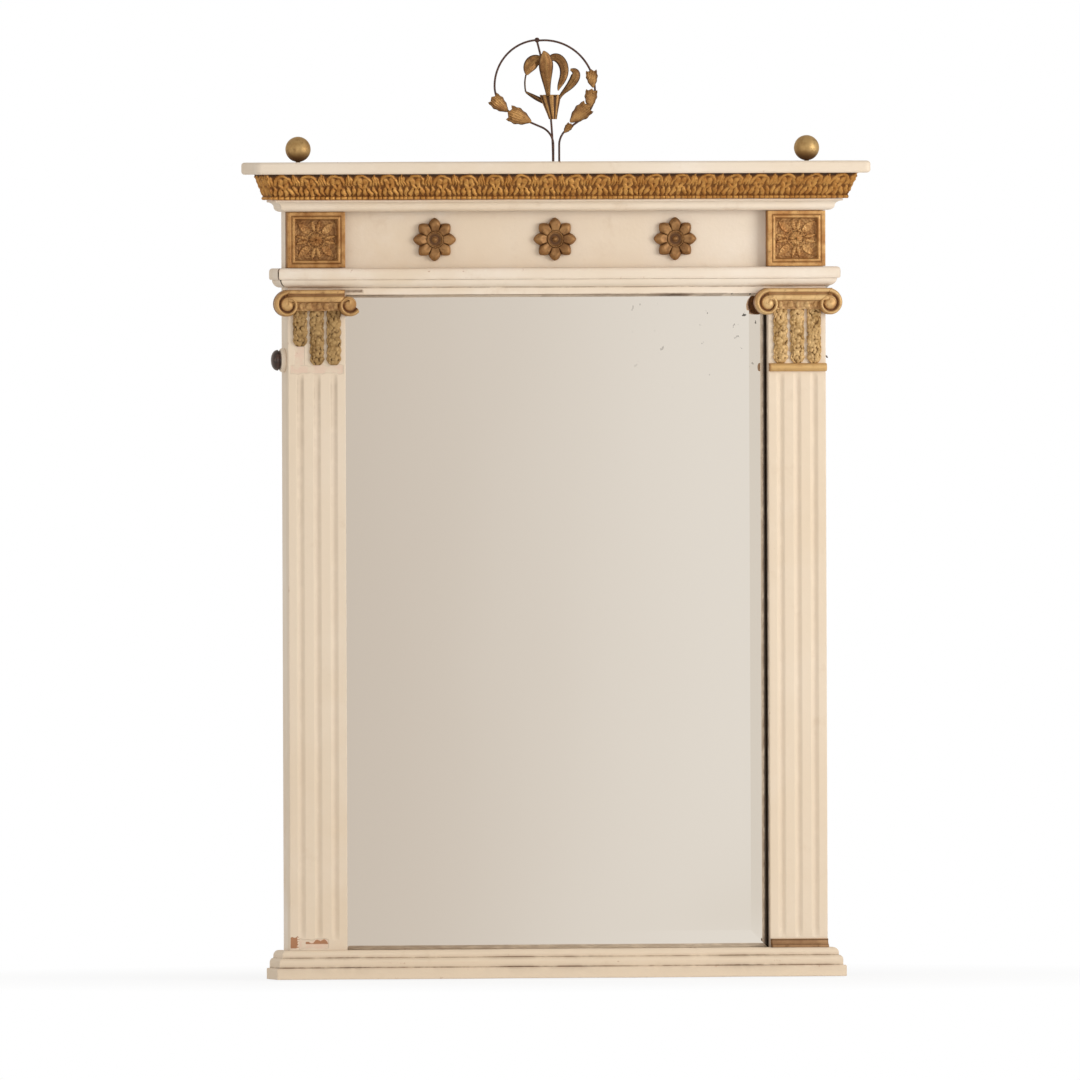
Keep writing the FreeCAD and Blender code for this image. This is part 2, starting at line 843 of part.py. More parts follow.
def corner_block():
    """Right square block of the frieze: a stepped border round a sunk flower."""
    low = (architrave_top + frieze_top - corner_block_height) / 2
    span_x = (half_sight, outer_half)
    span_z = (low, low + corner_block_height)
    body = block(span_x, (face_y, lip_y), span_z)
    sinks = []
    for inset, depth in (
        (corner_block_border, corner_block_sink / 2),
        (corner_block_border + corner_block_step, corner_block_sink),
    ):
        sinks.append(
            block(
                (span_x[0] + inset, span_x[1] - inset),
                (face_y - overrun, face_y + depth),
                (span_z[0] + inset, span_z[1] - inset),
            )
        )
    ground = face_y + corner_block_sink
    centre = (pilaster_centre, low + corner_block_height / 2)
    face = flower_face(ground, centre, corner_flower_radius, petal_valley_share, petal_count)
    flower = face.extrude(Vector(0, -corner_flower_height, 0))
    sunk = ground - corner_flower_height - corner_boss_rise + corner_boss_radius
    boss = Part.makeSphere(corner_boss_radius, Vector(centre[0], sunk, centre[1]))
    boss = boss.common(block(span_x, (face_y - capital_depth, ground), span_z))
    return joined([cut_all(body, sinks), flower, boss])


def ball_finial():
    """The right gilt ball on a short neck, with a spigot in the top board."""
    x = outer_half - ball_inset
    seat = Vector(x, crown_y, board_top)
    up = Vector(0, 0, 1)
    neck = pole(ball_neck_diameter, seat, up, ball_neck_height + ball_neck_diameter / 4)
    spigot = pole(ball_spigot_diameter, seat, Vector(0, 0, -1), ball_spigot_length)
    ball = Part.makeSphere(ball_diameter / 2, seat + up * (ball_neck_height + ball_diameter / 2))
    return joined([ball, neck, spigot])


def crown_holes():
    """Holes in the top board for the balls' spigots and the finial's wires."""
    down = Vector(0, 0, -1)
    holes = []
    for side in (-1, 1):
        seat = Vector(side * (outer_half - ball_inset), crown_y, board_top)
        width = ball_spigot_diameter + 2 * spigot_play
        holes.append(pole(width, seat, down, ball_spigot_length + spigot_play))
    width = wire_diameter + 2 * wire_hole_play
    for x, y in wire_feet():
        holes.append(pole(width, Vector(x, y, board_top), down, wire_hole_depth + wire_hole_play))
    return holes


def top_board():
    """Top board of the cornice, soft along its front and side edges."""
    reach = outer_half + top_board_overhang
    front = face_y - top_board_overhang
    board = block((-reach, reach), (front, 0.0), (leaf_top, board_top))
    soft = []
    for edge in board.Edges:
        middle = edge.CenterOfMass
        level = edge.BoundBox.ZLength == 0
        if level and middle.y < -overrun:
            soft.append(edge)
    return cut_all(board.makeFillet(top_board_round, soft), crown_holes())


def wire_feet():
    """Where the stem, the left wire and the right wire stand on the top board."""
    front = crown_y - wire_diameter - wire_gap
    return [
        (finial_offset - wire_spread, crown_y),
        (finial_offset - wire_spread, front),
        (finial_offset + wire_spread, front),
    ]


def finial_wires():
    """The upright stem behind, and two wires in front that close into a loop at the top."""
    rods = []
    ends = []
    rise = bundle_height + wire_hole_depth
    stem_bend = [(stem_radius_share, stem_lean_degrees)]
    for foot, shares in zip(wire_feet(), (stem_bend, left_wire_shares, right_wire_shares)):
        straight = wire_hole_depth if shares is stem_bend else rise
        moves = [(straight, 0.0)] + [(share * finial_loop_radius, turn) for share, turn in shares]
        shape, end = rod(wire_diameter, foot[1], (foot[0], board_top - wire_hole_depth), 90.0, moves)
        rods.append(shape)
        ends.append(end)
    return rods, ends


def finial_knot(rods, end):
    """Binding that ties the tips of the three wires together."""
    y = crown_y - (wire_diameter + wire_gap) / 2
    ball = Part.makeSphere(finial_knot_radius, Vector(end[0], y, end[1]))
    return ball.cut(Part.makeCompound(rods))


def sheet_petal(shares, y):
    """A pointed petal of gilt sheet along a bent middle line."""
    line = []
    for across, up, half_share in shares:
        line.append((finial_offset + across * finial_loop_radius, board_top + up * finial_loop_radius))
    sides = ([], [])
    for index, point in enumerate(line):
        before = line[max(index - 1, 0)]
        after = line[min(index + 1, len(line) - 1)]
        along = (after[0] - before[0], after[1] - before[1])
        length = math.hypot(along[0], along[1])
        half = shares[index][2] * finial_loop_radius
        for sign, side in zip((-1, 1), sides):
            out = sign * half / length
            side.append(Vector(point[0] - out * along[1], y, point[1] + out * along[0]))
    edges = []
    for side in sides:
        curve = Part.BSplineCurve()
        curve.interpolate(side)
        edges.append(curve.toShape())
    face = Part.Face(Part.Wire(Part.__sortEdges__(edges)))
    return face.extrude(Vector(0, -sheet_thickness, 0))


def finial_flower():
    """Lily of gilt sheet: a ribbed cup, a tall petal, curled petals and a sepal."""
    back = crown_y - wire_radius - wire_gap
    foot_x = finial_offset + calyx_place_share[0] * finial_loop_radius
    foot_z = board_top + calyx_place_share[1] * finial_loop_radius
    seat = Vector(foot_x, back, foot_z)
    cup = Part.makeCone(calyx_foot_radius, calyx_mouth_radius, calyx_height, seat, Vector(0, 0, 1))
    behind = block(
        (foot_x - 2 * calyx_mouth_radius, foot_x + 2 * calyx_mouth_radius),
        (back, back + 2 * calyx_mouth_radius),
        (foot_z - overrun, foot_z + calyx_height + overrun),
    )
    solids = [cup.cut(behind)]
    upper = (tall_petal_shares, left_petal_shares, right_petal_shares)
    for shares in upper + (far_petal_shares, left_sepal_shares):
        solids.append(sheet_petal(shares, back))
    return joined(solids)


def sheet_leaves(places):
    """Lobed leaves of gilt sheet on the front of a wire."""
    y = crown_y - wire_diameter - wire_radius - 2 * wire_gap
    leaves = []
    for x_share, z_share, angle, length_share in places:
        x = finial_offset + x_share * finial_loop_radius
        z = board_top + z_share * finial_loop_radius
        size = length_share * finial_loop_radius
        turn = math.radians(angle)
        outline = []
        for along, across in leaf_outline_shares:
            outline.append(
                (
                    x + size * (along * math.cos(turn) - across * math.sin(turn)),
                    z + size * (along * math.sin(turn) + across * math.cos(turn)),
                )
            )
        leaves.append(closed_face(upright(y), outline).extrude(Vector(0, -sheet_thickness, 0)))
    return Part.makeCompound(leaves)


def side_knob():
    """Turned knob with a spigot that passes its collar into the left stile."""
    seat = Vector(-outer_half - knob_collar_thickness, -knob_set_back, knob_height)
    outward = Vector(-1, 0, 0)
    rise = knob_projection - knob_rim
    dome_radius = (knob_diameter ** 2 / 4 + rise ** 2) / (2 * rise)
    ball = Part.makeSphere(dome_radius, seat + outward * (knob_projection - dome_radius))
    dome = ball.common(pole(knob_diameter, seat, outward, knob_projection + overrun))
    spigot = pole(knob_spigot_diameter, seat, Vector(1, 0, 0), knob_spigot_length)
    return joined([dome, spigot])


def knob_collar():
    """Painted collar between the knob and the left stile."""
    seat = Vector(-outer_half, -knob_set_back, knob_height)
    outward = Vector(-1, 0, 0)
    ring = pole(knob_collar_diameter, seat, outward, knob_collar_thickness)
    return ring.cut(pole(knob_spigot_diameter + 2 * spigot_play, seat, outward, knob_collar_thickness))


def side_pin():
    """Bent nail left in the right stile where the second knob was."""
    y = -knob_set_back
    start = Vector(outer_half - pin_grip, y, pin_height)
    shank = pole(pin_diameter, start, Vector(1, 0, 0), pin_grip + pin_reach)
    centre = Vector(outer_half + pin_reach, y, pin_height - pin_bend_radius)
    bend_start = Vector(outer_half + pin_reach, y, pin_height)
    tip_circle = Part.makeCircle(pin_diameter / 2, bend_start, Vector(1, 0, 0))
    bend = Part.Face(Part.Wire(tip_circle)).revolve(centre, Vector(0, 1, 0), 90)
    return joined([shank, bend])


def hanger_strap(side):
    """Strap with a rolled knuckle at its top, drilled for two screws."""
    x = side * hanger_x
    span = (x - strap_width / 2, x + strap_width / 2)
    plate = block(span, (back_y, back_y + strap_thickness), (hanger_height - strap_length, hanger_height))
    start = Vector(span[0], hinge_y, hanger_height)
    knuckle = pole(2 * (bore_radius + strap_thickness), start, Vector(1, 0, 0), strap_width)
    bore = pole(2 * bore_radius, start, Vector(1, 0, 0), strap_width)
    return cut_all(joined([plate, knuckle]), [bore] + screw_holes(side))


def hanger_ring(side):
    """D-shaped ring that hangs in the strap's knuckle."""
    x = side * hanger_x
    straight = ring_half_width - ring_corner_radius
    start = (x - straight, hanger_height)
    moves = [
        (2 * straight, 0.0),
        (ring_corner_radius, -90.0),
        (ring_side, 0.0),
        (ring_half_width, -180.0),
        (ring_side, 0.0),
        (ring_corner_radius, -90.0),
    ]
    return rod(ring_wire_diameter, hinge_y, start, 0.0, moves)[0]


def hanger_screws():
    """Round-headed screws of both hangers."""
    screws = []
    lift = Vector(0, strap_thickness, 0)
    length = screw_shank_length + strap_thickness
    for side in (-1, 1):
        for foot in screw_feet(side):
            head = pole(screw_head_diameter, foot + lift, Vector(0, 1, 0), screw_head_height)
            shank = pole(screw_shank_diameter, foot + lift, Vector(0, -1, 0), length)
            screws.append(joined([head, shank]))
    return Part.makeCompound(screws)


# The whole mirror, piece by piece
parts = {}

parts["left_stile"] = stile(-1)
parts["right_stile"] = stile(1)
parts["bottom_rail"] = cut_all(rail((0.0, bottom_rail_top), lip_y), nail_holes())
parts["top_rail"] = cut_all(rail((top_rail_foot, frieze_top), frieze_back), nail_holes())
pegs = [pole(peg_diameter, foot, Vector(0, -1, 0), carcass_thickness) for foot in peg_feet()]
parts["tenon_pegs"] = Part.makeCompound(pegs + [mirrored(peg) for peg in pegs])
parts["frieze_board"] = block((-stile_inner, stile_inner), (lip_y, frieze_back), (top_rail_foot, frieze_top))
parts["cornice_core"] = block((-outer_half, outer_half), (face_y, back_y), (frieze_top, leaf_top))
batten_top = bottom_rail_top - backboard_lap - plank_gap
parts["wall_batten"] = block((-outer_half, outer_half), (back_y, 0.0), (0.0, batten_top))

for index, name in enumerate(("backboard_left", "backboard_middle", "backboard_right")):
    plank = block(
        plank_span(index),
        (back_y, back_y + backboard_thickness),
        (bottom_rail_top - backboard_lap, top_rail_foot + backboard_lap),
    )
    parts[name] = cut_all(plank, nail_holes())
parts["backboard_nails"] = Part.makeCompound([nail(foot) for foot in nail_feet()])

parts["mirror_plate"], glass_back = mirror_plate()
parts["glass_spacers"] = glass_spacers()
parts["glazing_blocks"] = glazing_blocks(glass_back)

parts["base_front"] = front_moulding(base_outline(-pilaster_thickness), 0.0)
parts["base_right_return"] = right_return(base_outline(0.0), 0.0, 0.0)
parts["base_left_return"] = mirrored(parts["base_right_return"])
parts["right_pilaster"] = pilaster()
parts["left_pilaster"] = mirrored(parts["right_pilaster"])
parts["right_foot_moulding"] = foot_moulding()
parts["right_necking_bar"] = necking_bar()
parts["right_husks"] = husks(pilaster_centre, right_husk_counts)
parts["left_husks"] = husks(-pilaster_centre, left_husk_counts)
parts["right_capital"] = capital()
parts["left_capital"] = mirrored(parts["right_capital"]).cut(broken_turn())

parts["architrave_front"] = front_moulding(architrave_outline(-pilaster_thickness), sight_top)
parts["architrave_right_return"] = right_return(architrave_side_outline(), sight_top, back_y)
parts["architrave_left_return"] = mirrored(parts["architrave_right_return"])
parts["right_corner_block"] = corner_block()
parts["left_corner_block"] = mirrored(parts["right_corner_block"])
parts["left_rosette"] = rosette(-rosette_spacing)
parts["middle_rosette"] = rosette(0.0)
parts["right_rosette"] = rosette(rosette_spacing)

parts["bed_mould_front"] = front_moulding(bed_outline(), frieze_top)
parts["bed_mould_right_return"] = right_return(bed_outline(), frieze_top, back_y)
parts["bed_mould_left_return"] = mirrored(parts["bed_mould_right_return"])
parts["leaf_mould_front"] = front_moulding(leaf_outline(), bed_top)
parts["leaf_mould_right_return"] = right_return(leaf_outline(), bed_top, back_y)
parts["leaf_mould_left_return"] = mirrored(parts["leaf_mould_right_return"])
parts["top_board"] = top_board()

parts["right_ball"] = ball_finial()
parts["left_ball"] = mirrored(parts["right_ball"])
rods, rod_ends = finial_wires()
parts["finial_stem"] = rods[0]
parts["finial_left_wire"] = rods[1]
parts["finial_right_wire"] = rods[2]
parts["finial_knot"] = finial_knot(rods, rod_ends[1])
parts["finial_flower"] = finial_flower()
parts["finial_left_leaves"] = sheet_leaves(left_leaf_shares)
parts["finial_right_leaves"] = sheet_leaves(right_leaf_shares)

parts["side_knob"] = side_knob()
parts["knob_collar"] = knob_collar()
parts["side_pin"] = side_pin()

for side, name in ((-1, "left"), (1, "right")):
    parts[name + "_hanger_strap"] = hanger_strap(side)
    parts[name + "_hanger_ring"] = hanger_ring(side)
parts["hanger_screws"] = hanger_screws()

os.makedirs("parts", exist_ok=True)
for name, shape in parts.items():
    shape.exportStep("parts/" + name + ".step")
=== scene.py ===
import functools
import math

import bpy
import numpy as np
from mathutils import Matrix, Vector


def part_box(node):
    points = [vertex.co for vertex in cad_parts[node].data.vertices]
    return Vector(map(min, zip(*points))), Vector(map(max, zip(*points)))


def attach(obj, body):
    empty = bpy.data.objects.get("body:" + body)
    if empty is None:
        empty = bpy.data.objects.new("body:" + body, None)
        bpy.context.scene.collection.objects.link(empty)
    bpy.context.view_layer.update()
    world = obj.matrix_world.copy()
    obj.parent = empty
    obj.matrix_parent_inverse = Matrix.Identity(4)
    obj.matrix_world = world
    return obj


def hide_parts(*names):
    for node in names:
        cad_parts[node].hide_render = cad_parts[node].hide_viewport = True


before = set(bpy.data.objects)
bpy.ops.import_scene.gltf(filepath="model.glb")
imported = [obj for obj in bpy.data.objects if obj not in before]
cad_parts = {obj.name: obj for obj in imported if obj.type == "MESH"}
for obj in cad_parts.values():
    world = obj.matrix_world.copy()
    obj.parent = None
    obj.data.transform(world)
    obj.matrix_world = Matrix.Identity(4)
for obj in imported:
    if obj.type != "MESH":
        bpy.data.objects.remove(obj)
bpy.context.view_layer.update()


# Carcass: rails, pegs, cornice core, wall batten, glazing blocks and three backboards.
# Sawn softwood that was never painted and has browned with age.
# The rails are tenoned into the stiles and pegged, the boards are nailed on behind.


def node(tree, kind, inputs={}, **settings):
    """Adds a shader node; each input takes a plain value or another node's output."""
    made = tree.nodes.new("ShaderNode" + kind)
    for name, value in settings.items():
        setattr(made, name, value)
    for name, value in inputs.items():
        if isinstance(value, bpy.types.NodeSocket):
            tree.links.new(value, made.inputs[name])
        else:
            made.inputs[name].default_value = value
    return made


def mixed(tree, share, first, second):
    """Colour that goes from the first to the second as the share goes from 0 to 1."""
    return node(tree, "MixRGB", {"Fac": share, "Color1": first, "Color2": second}).outputs["Color"]


def between(tree, value, low, high):
    """Smooth step: 0 below low, 1 above high."""
    inputs = {"Value": value, "From Min": low, "From Max": high}
    return node(tree, "MapRange", inputs, interpolation_type="SMOOTHSTEP").outputs["Result"]


def times(tree, first, second):
    """Product of two values."""
    return node(tree, "Math", {0: first, 1: second}, operation="MULTIPLY").outputs["Value"]


def cloud(tree, place, fineness, detail=4.0, roughness=0.55):
    """Noise with this many blotches to the metre."""
    inputs = {"Vector": place, "Scale": fineness, "Detail": detail, "Roughness": roughness}
    return node(tree, "TexNoise", inputs).outputs["Fac"]


def drawn_out(tree, place, scale):
    """The place with each axis scaled, which draws a pattern out along the axis of the smallest scale."""
    return node(tree, "Mapping", {"Vector": place, "Scale": scale}).outputs["Vector"]


def mark(tree, name):
    """A value stored on the mesh's own points."""
    return node(tree, "Attribute", attribute_name=name).outputs["Fac"]


def bumped(tree, shader, height, strength, distance):
    """Lets a height value tilt the shader's normal."""
    inputs = {"Height": height, "Strength": strength, "Distance": distance}
    tree.links.new(node(tree, "Bump", inputs).outputs["Normal"], shader.inputs["Normal"])


def open_finish(name):
    """A new material with its node tree, its shader and the Object coordinates."""
    material = bpy.data.materials.new(name)
    material.use_nodes = True
    tree = material.node_tree
    return material, tree, tree.nodes["Principled BSDF"], node(tree, "TexCoord").outputs["Object"]


def pine_colour(tree, place, along, across):
    """Growth rings: bands across the board, bent by a slow cloud and drawn out along the grain."""
    scale = tuple(0.045 if axis == along else 1.0 for axis in "XYZ")
    drawn = drawn_out(tree, place, scale)
    inputs = {"Vector": drawn, "Scale": 9.0, "Distortion": 16.0, "Detail": 4.0, "Detail Scale": 1.1}
    rings = node(tree, "TexWave", inputs, bands_direction=across).outputs["Fac"]
    wood = mixed(tree, between(tree, rings, 0.15, 1.0), (0.385, 0.225, 0.110, 1), (0.295, 0.158, 0.071, 1))
    dirt = between(tree, cloud(tree, place, 7.0, 6.0), 0.42, 0.7)
    return mixed(tree, times(tree, dirt, 0.55), wood, (0.13, 0.075, 0.038, 1)), drawn


def bare_pine(name, along, across):
    """Unpainted softwood with its grain along one axis."""
    material, tree, shader, place = open_finish(name)
    colour, drawn = pine_colour(tree, place, along, across)
    fibre = cloud(tree, drawn, 420.0, 3.0)
    colour = mixed(tree, times(tree, fibre, 0.3), colour, (0.17, 0.09, 0.04, 1))
    tree.links.new(colour, shader.inputs["Base Color"])
    shader.inputs["Roughness"].default_value = 0.78
    bumped(tree, shader, fibre, 0.35, 0.0006)
    return material


def dress(material, *names):
    """Gives CAD nodes a material in their own slots."""
    for name in names:
        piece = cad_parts[name]
        if not piece.material_slots:
            piece.data.materials.append(material)
        for slot in piece.material_slots:
            slot.material = material


upright_pine = bare_pine("pine_upright", "Z", "X")
level_pine = bare_pine("pine_level", "X", "Z")
dress(upright_pine, "backboard_left", "backboard_middle", "backboard_right", "tenon_pegs", "glazing_blocks")
dress(level_pine, "bottom_rail", "top_rail", "cornice_core", "wall_batten")


# Mirror plate of old silvered glass with a wide bevel, and the dark strips it lies against.
# The silver has gone warm and grey, with a few black spots near the top right corner; its back is painted.
# Its colour is also painted dimmer at the left and brighter at the right: a painted reflection of the room.
# Strips hold it off the frame's lips. Their near-black colour is painted shade for the gap at the glass's
# edge, so its edge shows a dark line.
silver_left_dim_reflection = (0.745, 0.690, 0.632, 1)
silver_right_bright_reflection = (0.960, 0.945, 0.915, 1)

old_silver, tree, shader, place = open_finish("old_silver")
parted = node(tree, "SeparateXYZ", {"Vector": place})
slow = cloud(tree, drawn_out(tree, place, (1.0, 1.0, 0.35)), 2.2, 3.0)
# Dim at the left, bright at the right, with a slow cloud of tone: the silver's painted reflection.
leaning = {0: slow, 1: 0.20, 2: parted.outputs["X"]}
lean = node(tree, "Math", leaning, operation="MULTIPLY_ADD").outputs["Value"]
silver_with_painted_reflection = mixed(tree, between(tree, lean, -0.28, 0.40), silver_left_dim_reflection, silver_right_bright_reflection)
corner = times(
    tree,
    between(tree, parted.outputs["X"], 0.02, 0.26),
    between(tree, parted.outputs["Z"], 0.74, 0.93),
)
spots = between(tree, cloud(tree, drawn_out(tree, place, (1.0, 1.0, 0.7)), 95.0, 5.0, 0.6), 0.665, 0.70)
lone = between(tree, cloud(tree, place, 21.0, 6.0, 0.75), 0.745, 0.77)
spotted = mixed(tree, times(tree, spots, corner), silver_with_painted_reflection, (0.05, 0.045, 0.038, 1))
spotted = mixed(tree, times(tree, lone, 0.8), spotted, (0.10, 0.09, 0.08, 1))
plate_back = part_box("mirror_plate")[1].y
backing = between(tree, parted.outputs["Y"], plate_back - 0.0008, plate_back - 0.0003)
tree.links.new(mixed(tree, backing, spotted, (0.075, 0.046, 0.028, 1)), shader.inputs["Base Color"])
haze = cloud(tree, place, 6.0, 5.0)
haze_rough = node(tree, "MapRange", {"Value": haze, "To Min": 0.02, "To Max": 0.075}).outputs["Result"]
backed_rough = node(tree, "Math", {0: haze_rough, 1: backing}, operation="MAXIMUM").outputs["Value"]
tree.links.new(backed_rough, shader.inputs["Roughness"])
silvered = node(tree, "Math", {0: 1.0, 1: backing}, operation="SUBTRACT").outputs["Value"]
tree.links.new(silvered, shader.inputs["Metallic"])
dress(old_silver, "mirror_plate")

# Near-black finish of the spacers: painted shade for the gap between the glass and the lips.
dark_stain, tree, shader, place = open_finish("dark_stain")
worn = between(tree, cloud(tree, place, 40.0, 5.0), 0.4, 0.75)
gap_shade_colour = mixed(tree, worn, (0.016, 0.011, 0.008, 1), (0.075, 0.05, 0.034, 1))
tree.links.new(gap_shade_colour, shader.inputs["Base Color"])
shader.inputs["Roughness"].default_value = 0.7
bumped(tree, shader, worn, 0.3, 0.0005)
dress(dark_stain, "glass_spacers")


# Stiles and frieze board of pine, painted cream on every side that shows.
# The paint is old: warm and pale clouds, brown in the corners, rubbed through on the edges.
# The brown is dirt, and painted shade in the few places marked for it; painted shade in gaps is near black.
# The stiles' backs were left bare, and paint within reach of hands has yellowed more.
cream = (0.800, 0.690, 0.560, 1)
warm_cream = (0.742, 0.604, 0.447, 1)
pale_cream = (0.860, 0.772, 0.668, 1)
tea_stain = (0.560, 0.395, 0.250, 1)
dirt_and_shade_brown = (0.210, 0.118, 0.058, 1)
bare_wood = (0.400, 0.185, 0.085, 1)
black_stain_and_shade = (0.042, 0.027, 0.016, 1)
pink_ground = (0.720, 0.500, 0.385, 1)


def cream_paint(name, handled=0.0, bare_back=False):
    """Clouds of three creams, stains, brown on points marked hollow and bare wood in spots on points
    marked 1 as edge, where the pink ground shows too, and all over on points marked 2. The brown is dirt, and
    painted shade where a mark is laid for shade. Points marked 2 as hollow are nearly black and less shiny:
    painted shade in gaps, and the darkest old glue. Handled paint leans towards the warm cream."""
    material, tree, shader, place = open_finish(name)
    colour = mixed(tree, between(tree, cloud(tree, place, 2.6, 4.0), 0.36, 0.66), warm_cream, cream)
    pale = between(tree, cloud(tree, place, 7.0, 5.0, 0.6), 0.46, 0.72)
    colour = mixed(tree, times(tree, pale, 0.65), colour, pale_cream)
    colour = mixed(tree, handled, colour, warm_cream)
    stain = between(tree, cloud(tree, place, 21.0, 7.0, 0.68), 0.56, 0.8)
    colour = mixed(tree, times(tree, stain, 0.38), colour, tea_stain)
    patch = between(tree, cloud(tree, place, 48.0, 5.0, 0.6), 0.22, 0.62)
    hollow = times(tree, mark(tree, "hollow"), patch)
    colour = mixed(tree, times(tree, hollow, 0.65), colour, dirt_and_shade_brown)
    # Points marked 2 as hollow turn nearly black: painted shade in gaps, and the darkest old glue.
    colour = mixed(tree, between(tree, mark(tree, "hollow"), 1.2, 2.0), colour, black_stain_and_shade)
    worn = mark(tree, "edge")
    flakes = between(tree, cloud(tree, place, 90.0, 6.0, 0.65), 0.34, 0.58)
    thin = times(tree, between(tree, worn, 0.9, 1.2), flakes)
    colour = mixed(tree, times(tree, thin, 0.6), colour, pink_ground)
    rubbed = between(tree, cloud(tree, place, 64.0, 6.0, 0.7), 0.63, 0.70)
    colour = mixed(tree, times(tree, worn, times(tree, rubbed, 0.75)), colour, bare_wood)
    colour = mixed(tree, between(tree, worn, 1.3, 1.9), colour, bare_wood)
    speck = between(tree, cloud(tree, place, 230.0, 4.0, 0.7), 0.72, 0.76)
    colour = mixed(tree, times(tree, speck, 0.5), colour, dirt_and_shade_brown)
    if bare_back:
        depth = node(tree, "SeparateXYZ", {"Vector": place}).outputs["Y"]
        wood, drawn = pine_colour(tree, place, "Z", "X")
        colour = mixed(tree, between(tree, depth, -0.0104, -0.0101), colour, wood)
    tree.links.new(colour, shader.inputs["Base Color"])
    sheen = cloud(tree, place, 16.0, 5.0)
    rough = node(tree, "MapRange", {"Value": sheen, "To Min": 0.42, "To Max": 0.66}).outputs["Result"]
    tree.links.new(rough, shader.inputs["Roughness"])
    # The same near-black points lose their shine, which deepens the painted shade.
    dull = {"Value": mark(tree, "hollow"), "From Min": 1.2, "From Max": 2.0, "To Min": 0.5, "To Max": 0.03}
    tree.links.new(node(tree, "MapRange", dull).outputs["Result"], shader.inputs["Specular IOR Level"])
    brushed = cloud(tree, place, 190.0, 5.0, 0.6)
    bumped(tree, shader, brushed, 0.32, 0.0009)
    return material


aged_cream = cream_paint("aged_cream")
stile_cream = cream_paint("stile_cream", bare_back=True)
handled_cream = cream_paint("handled_cream", 0.65)
dress(stile_cream, "left_stile", "right_stile")
dress(aged_cream, "frieze_board")


# Base moulding: plinth, quarter round and cove, run in pine and painted with the rest.
# One length crosses the front and two short returns run back to the wall, mitred at the corners.
board_low, board_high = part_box("right_pilaster")
half_width = board_high.x
face = board_low.y
board_back = board_high.y
plinth_height = 0.015
plinth_projection = 0.0215
quarter_height = 0.0285
quarter_projection = 0.0175
cove_projection = 0.0125
base_height = 0.039
base_top_projection = 0.005


def sway(place, shift=0.0):
    """Slow unevenness of handwork, from -1 to 1: two sines whose lengths never fall together."""
    return 0.6 * np.sin(23.0 * place + shift) + 0.4 * np.sin(61.0 * place + 2.3 * shift + 1.1)


def nicks(place, shift=0.0):
    """Short dents along an edge: the highest crests of three sines, 0 elsewhere."""
    crest = np.sin(47.0 * place + shift) + np.sin(131.0 * place + 3.0 * shift) + np.sin(313.0 * place)
    return np.clip(crest - 2.2, 0.0, 0.6)


def quarter_curve(start, end, hollow):
    """Quarter ellipse from start to end, bulging outwards, or inwards for a cove, as sharp steps."""
    angle = np.linspace(0.0, math.pi / 2, 12)[1:-1]
    out, up = 1.0 - np.cos(angle), np.sin(angle)
    if hollow:
        out, up = up, out
    wide, tall = end[0] - start[0], end[1] - start[1]
    return [(start[0] + a * wide, start[1] + b * tall, 0.0) for a, b in zip(out, up)]


def moulding_line(steps):
    """Section of a moulding through steps of projection, height and rounding, back corner first.

    A rounded step becomes a curve between two points one rounding away, with a plain point beyond each.
    Curves that turn outwards are marked as edge, curves that turn inwards as hollow.
    """
    steps = np.array(steps)
    share = np.linspace(0.0, 1.0, 6)[:, None]
    points, edge, hollow = [], [], []
    for before, corner, after in zip(np.roll(steps, 1, 0), steps, np.roll(steps, -1, 0)):
        back, ahead = before[:2] - corner[:2], after[:2] - corner[:2]
        back_length, ahead_length = np.linalg.norm(back), np.linalg.norm(ahead)
        reach = min(corner[2], 0.4 * back_length, 0.4 * ahead_length)
        if reach == 0.0:
            points.append(corner[None, :2])
            edge.append(np.zeros(1))
            hollow.append(np.zeros(1))
            continue
        guard_back = min(reach + 0.0016, 0.46 * back_length)
        guard_ahead = min(reach + 0.0016, 0.46 * ahead_length)
        back, ahead = back / back_length, ahead / ahead_length
        start, end = corner[:2] + back * reach, corner[:2] + ahead * reach
        curve = (1 - share) ** 2 * start + 2 * share * (1 - share) * corner[:2] + share ** 2 * end
        guarded = np.vstack([corner[:2] + back * guard_back, curve, corner[:2] + ahead * guard_ahead])
        turn = back[1] * ahead[0] - back[0] * ahead[1]
        bent = np.r_[0.0, np.ones(6), 0.0]
        points.append(guarded)
        edge.append(bent * (turn > 0))
        hollow.append(bent * (turn < 0))
    return np.vstack(points), np.concatenate(edge), np.concatenate(hollow)


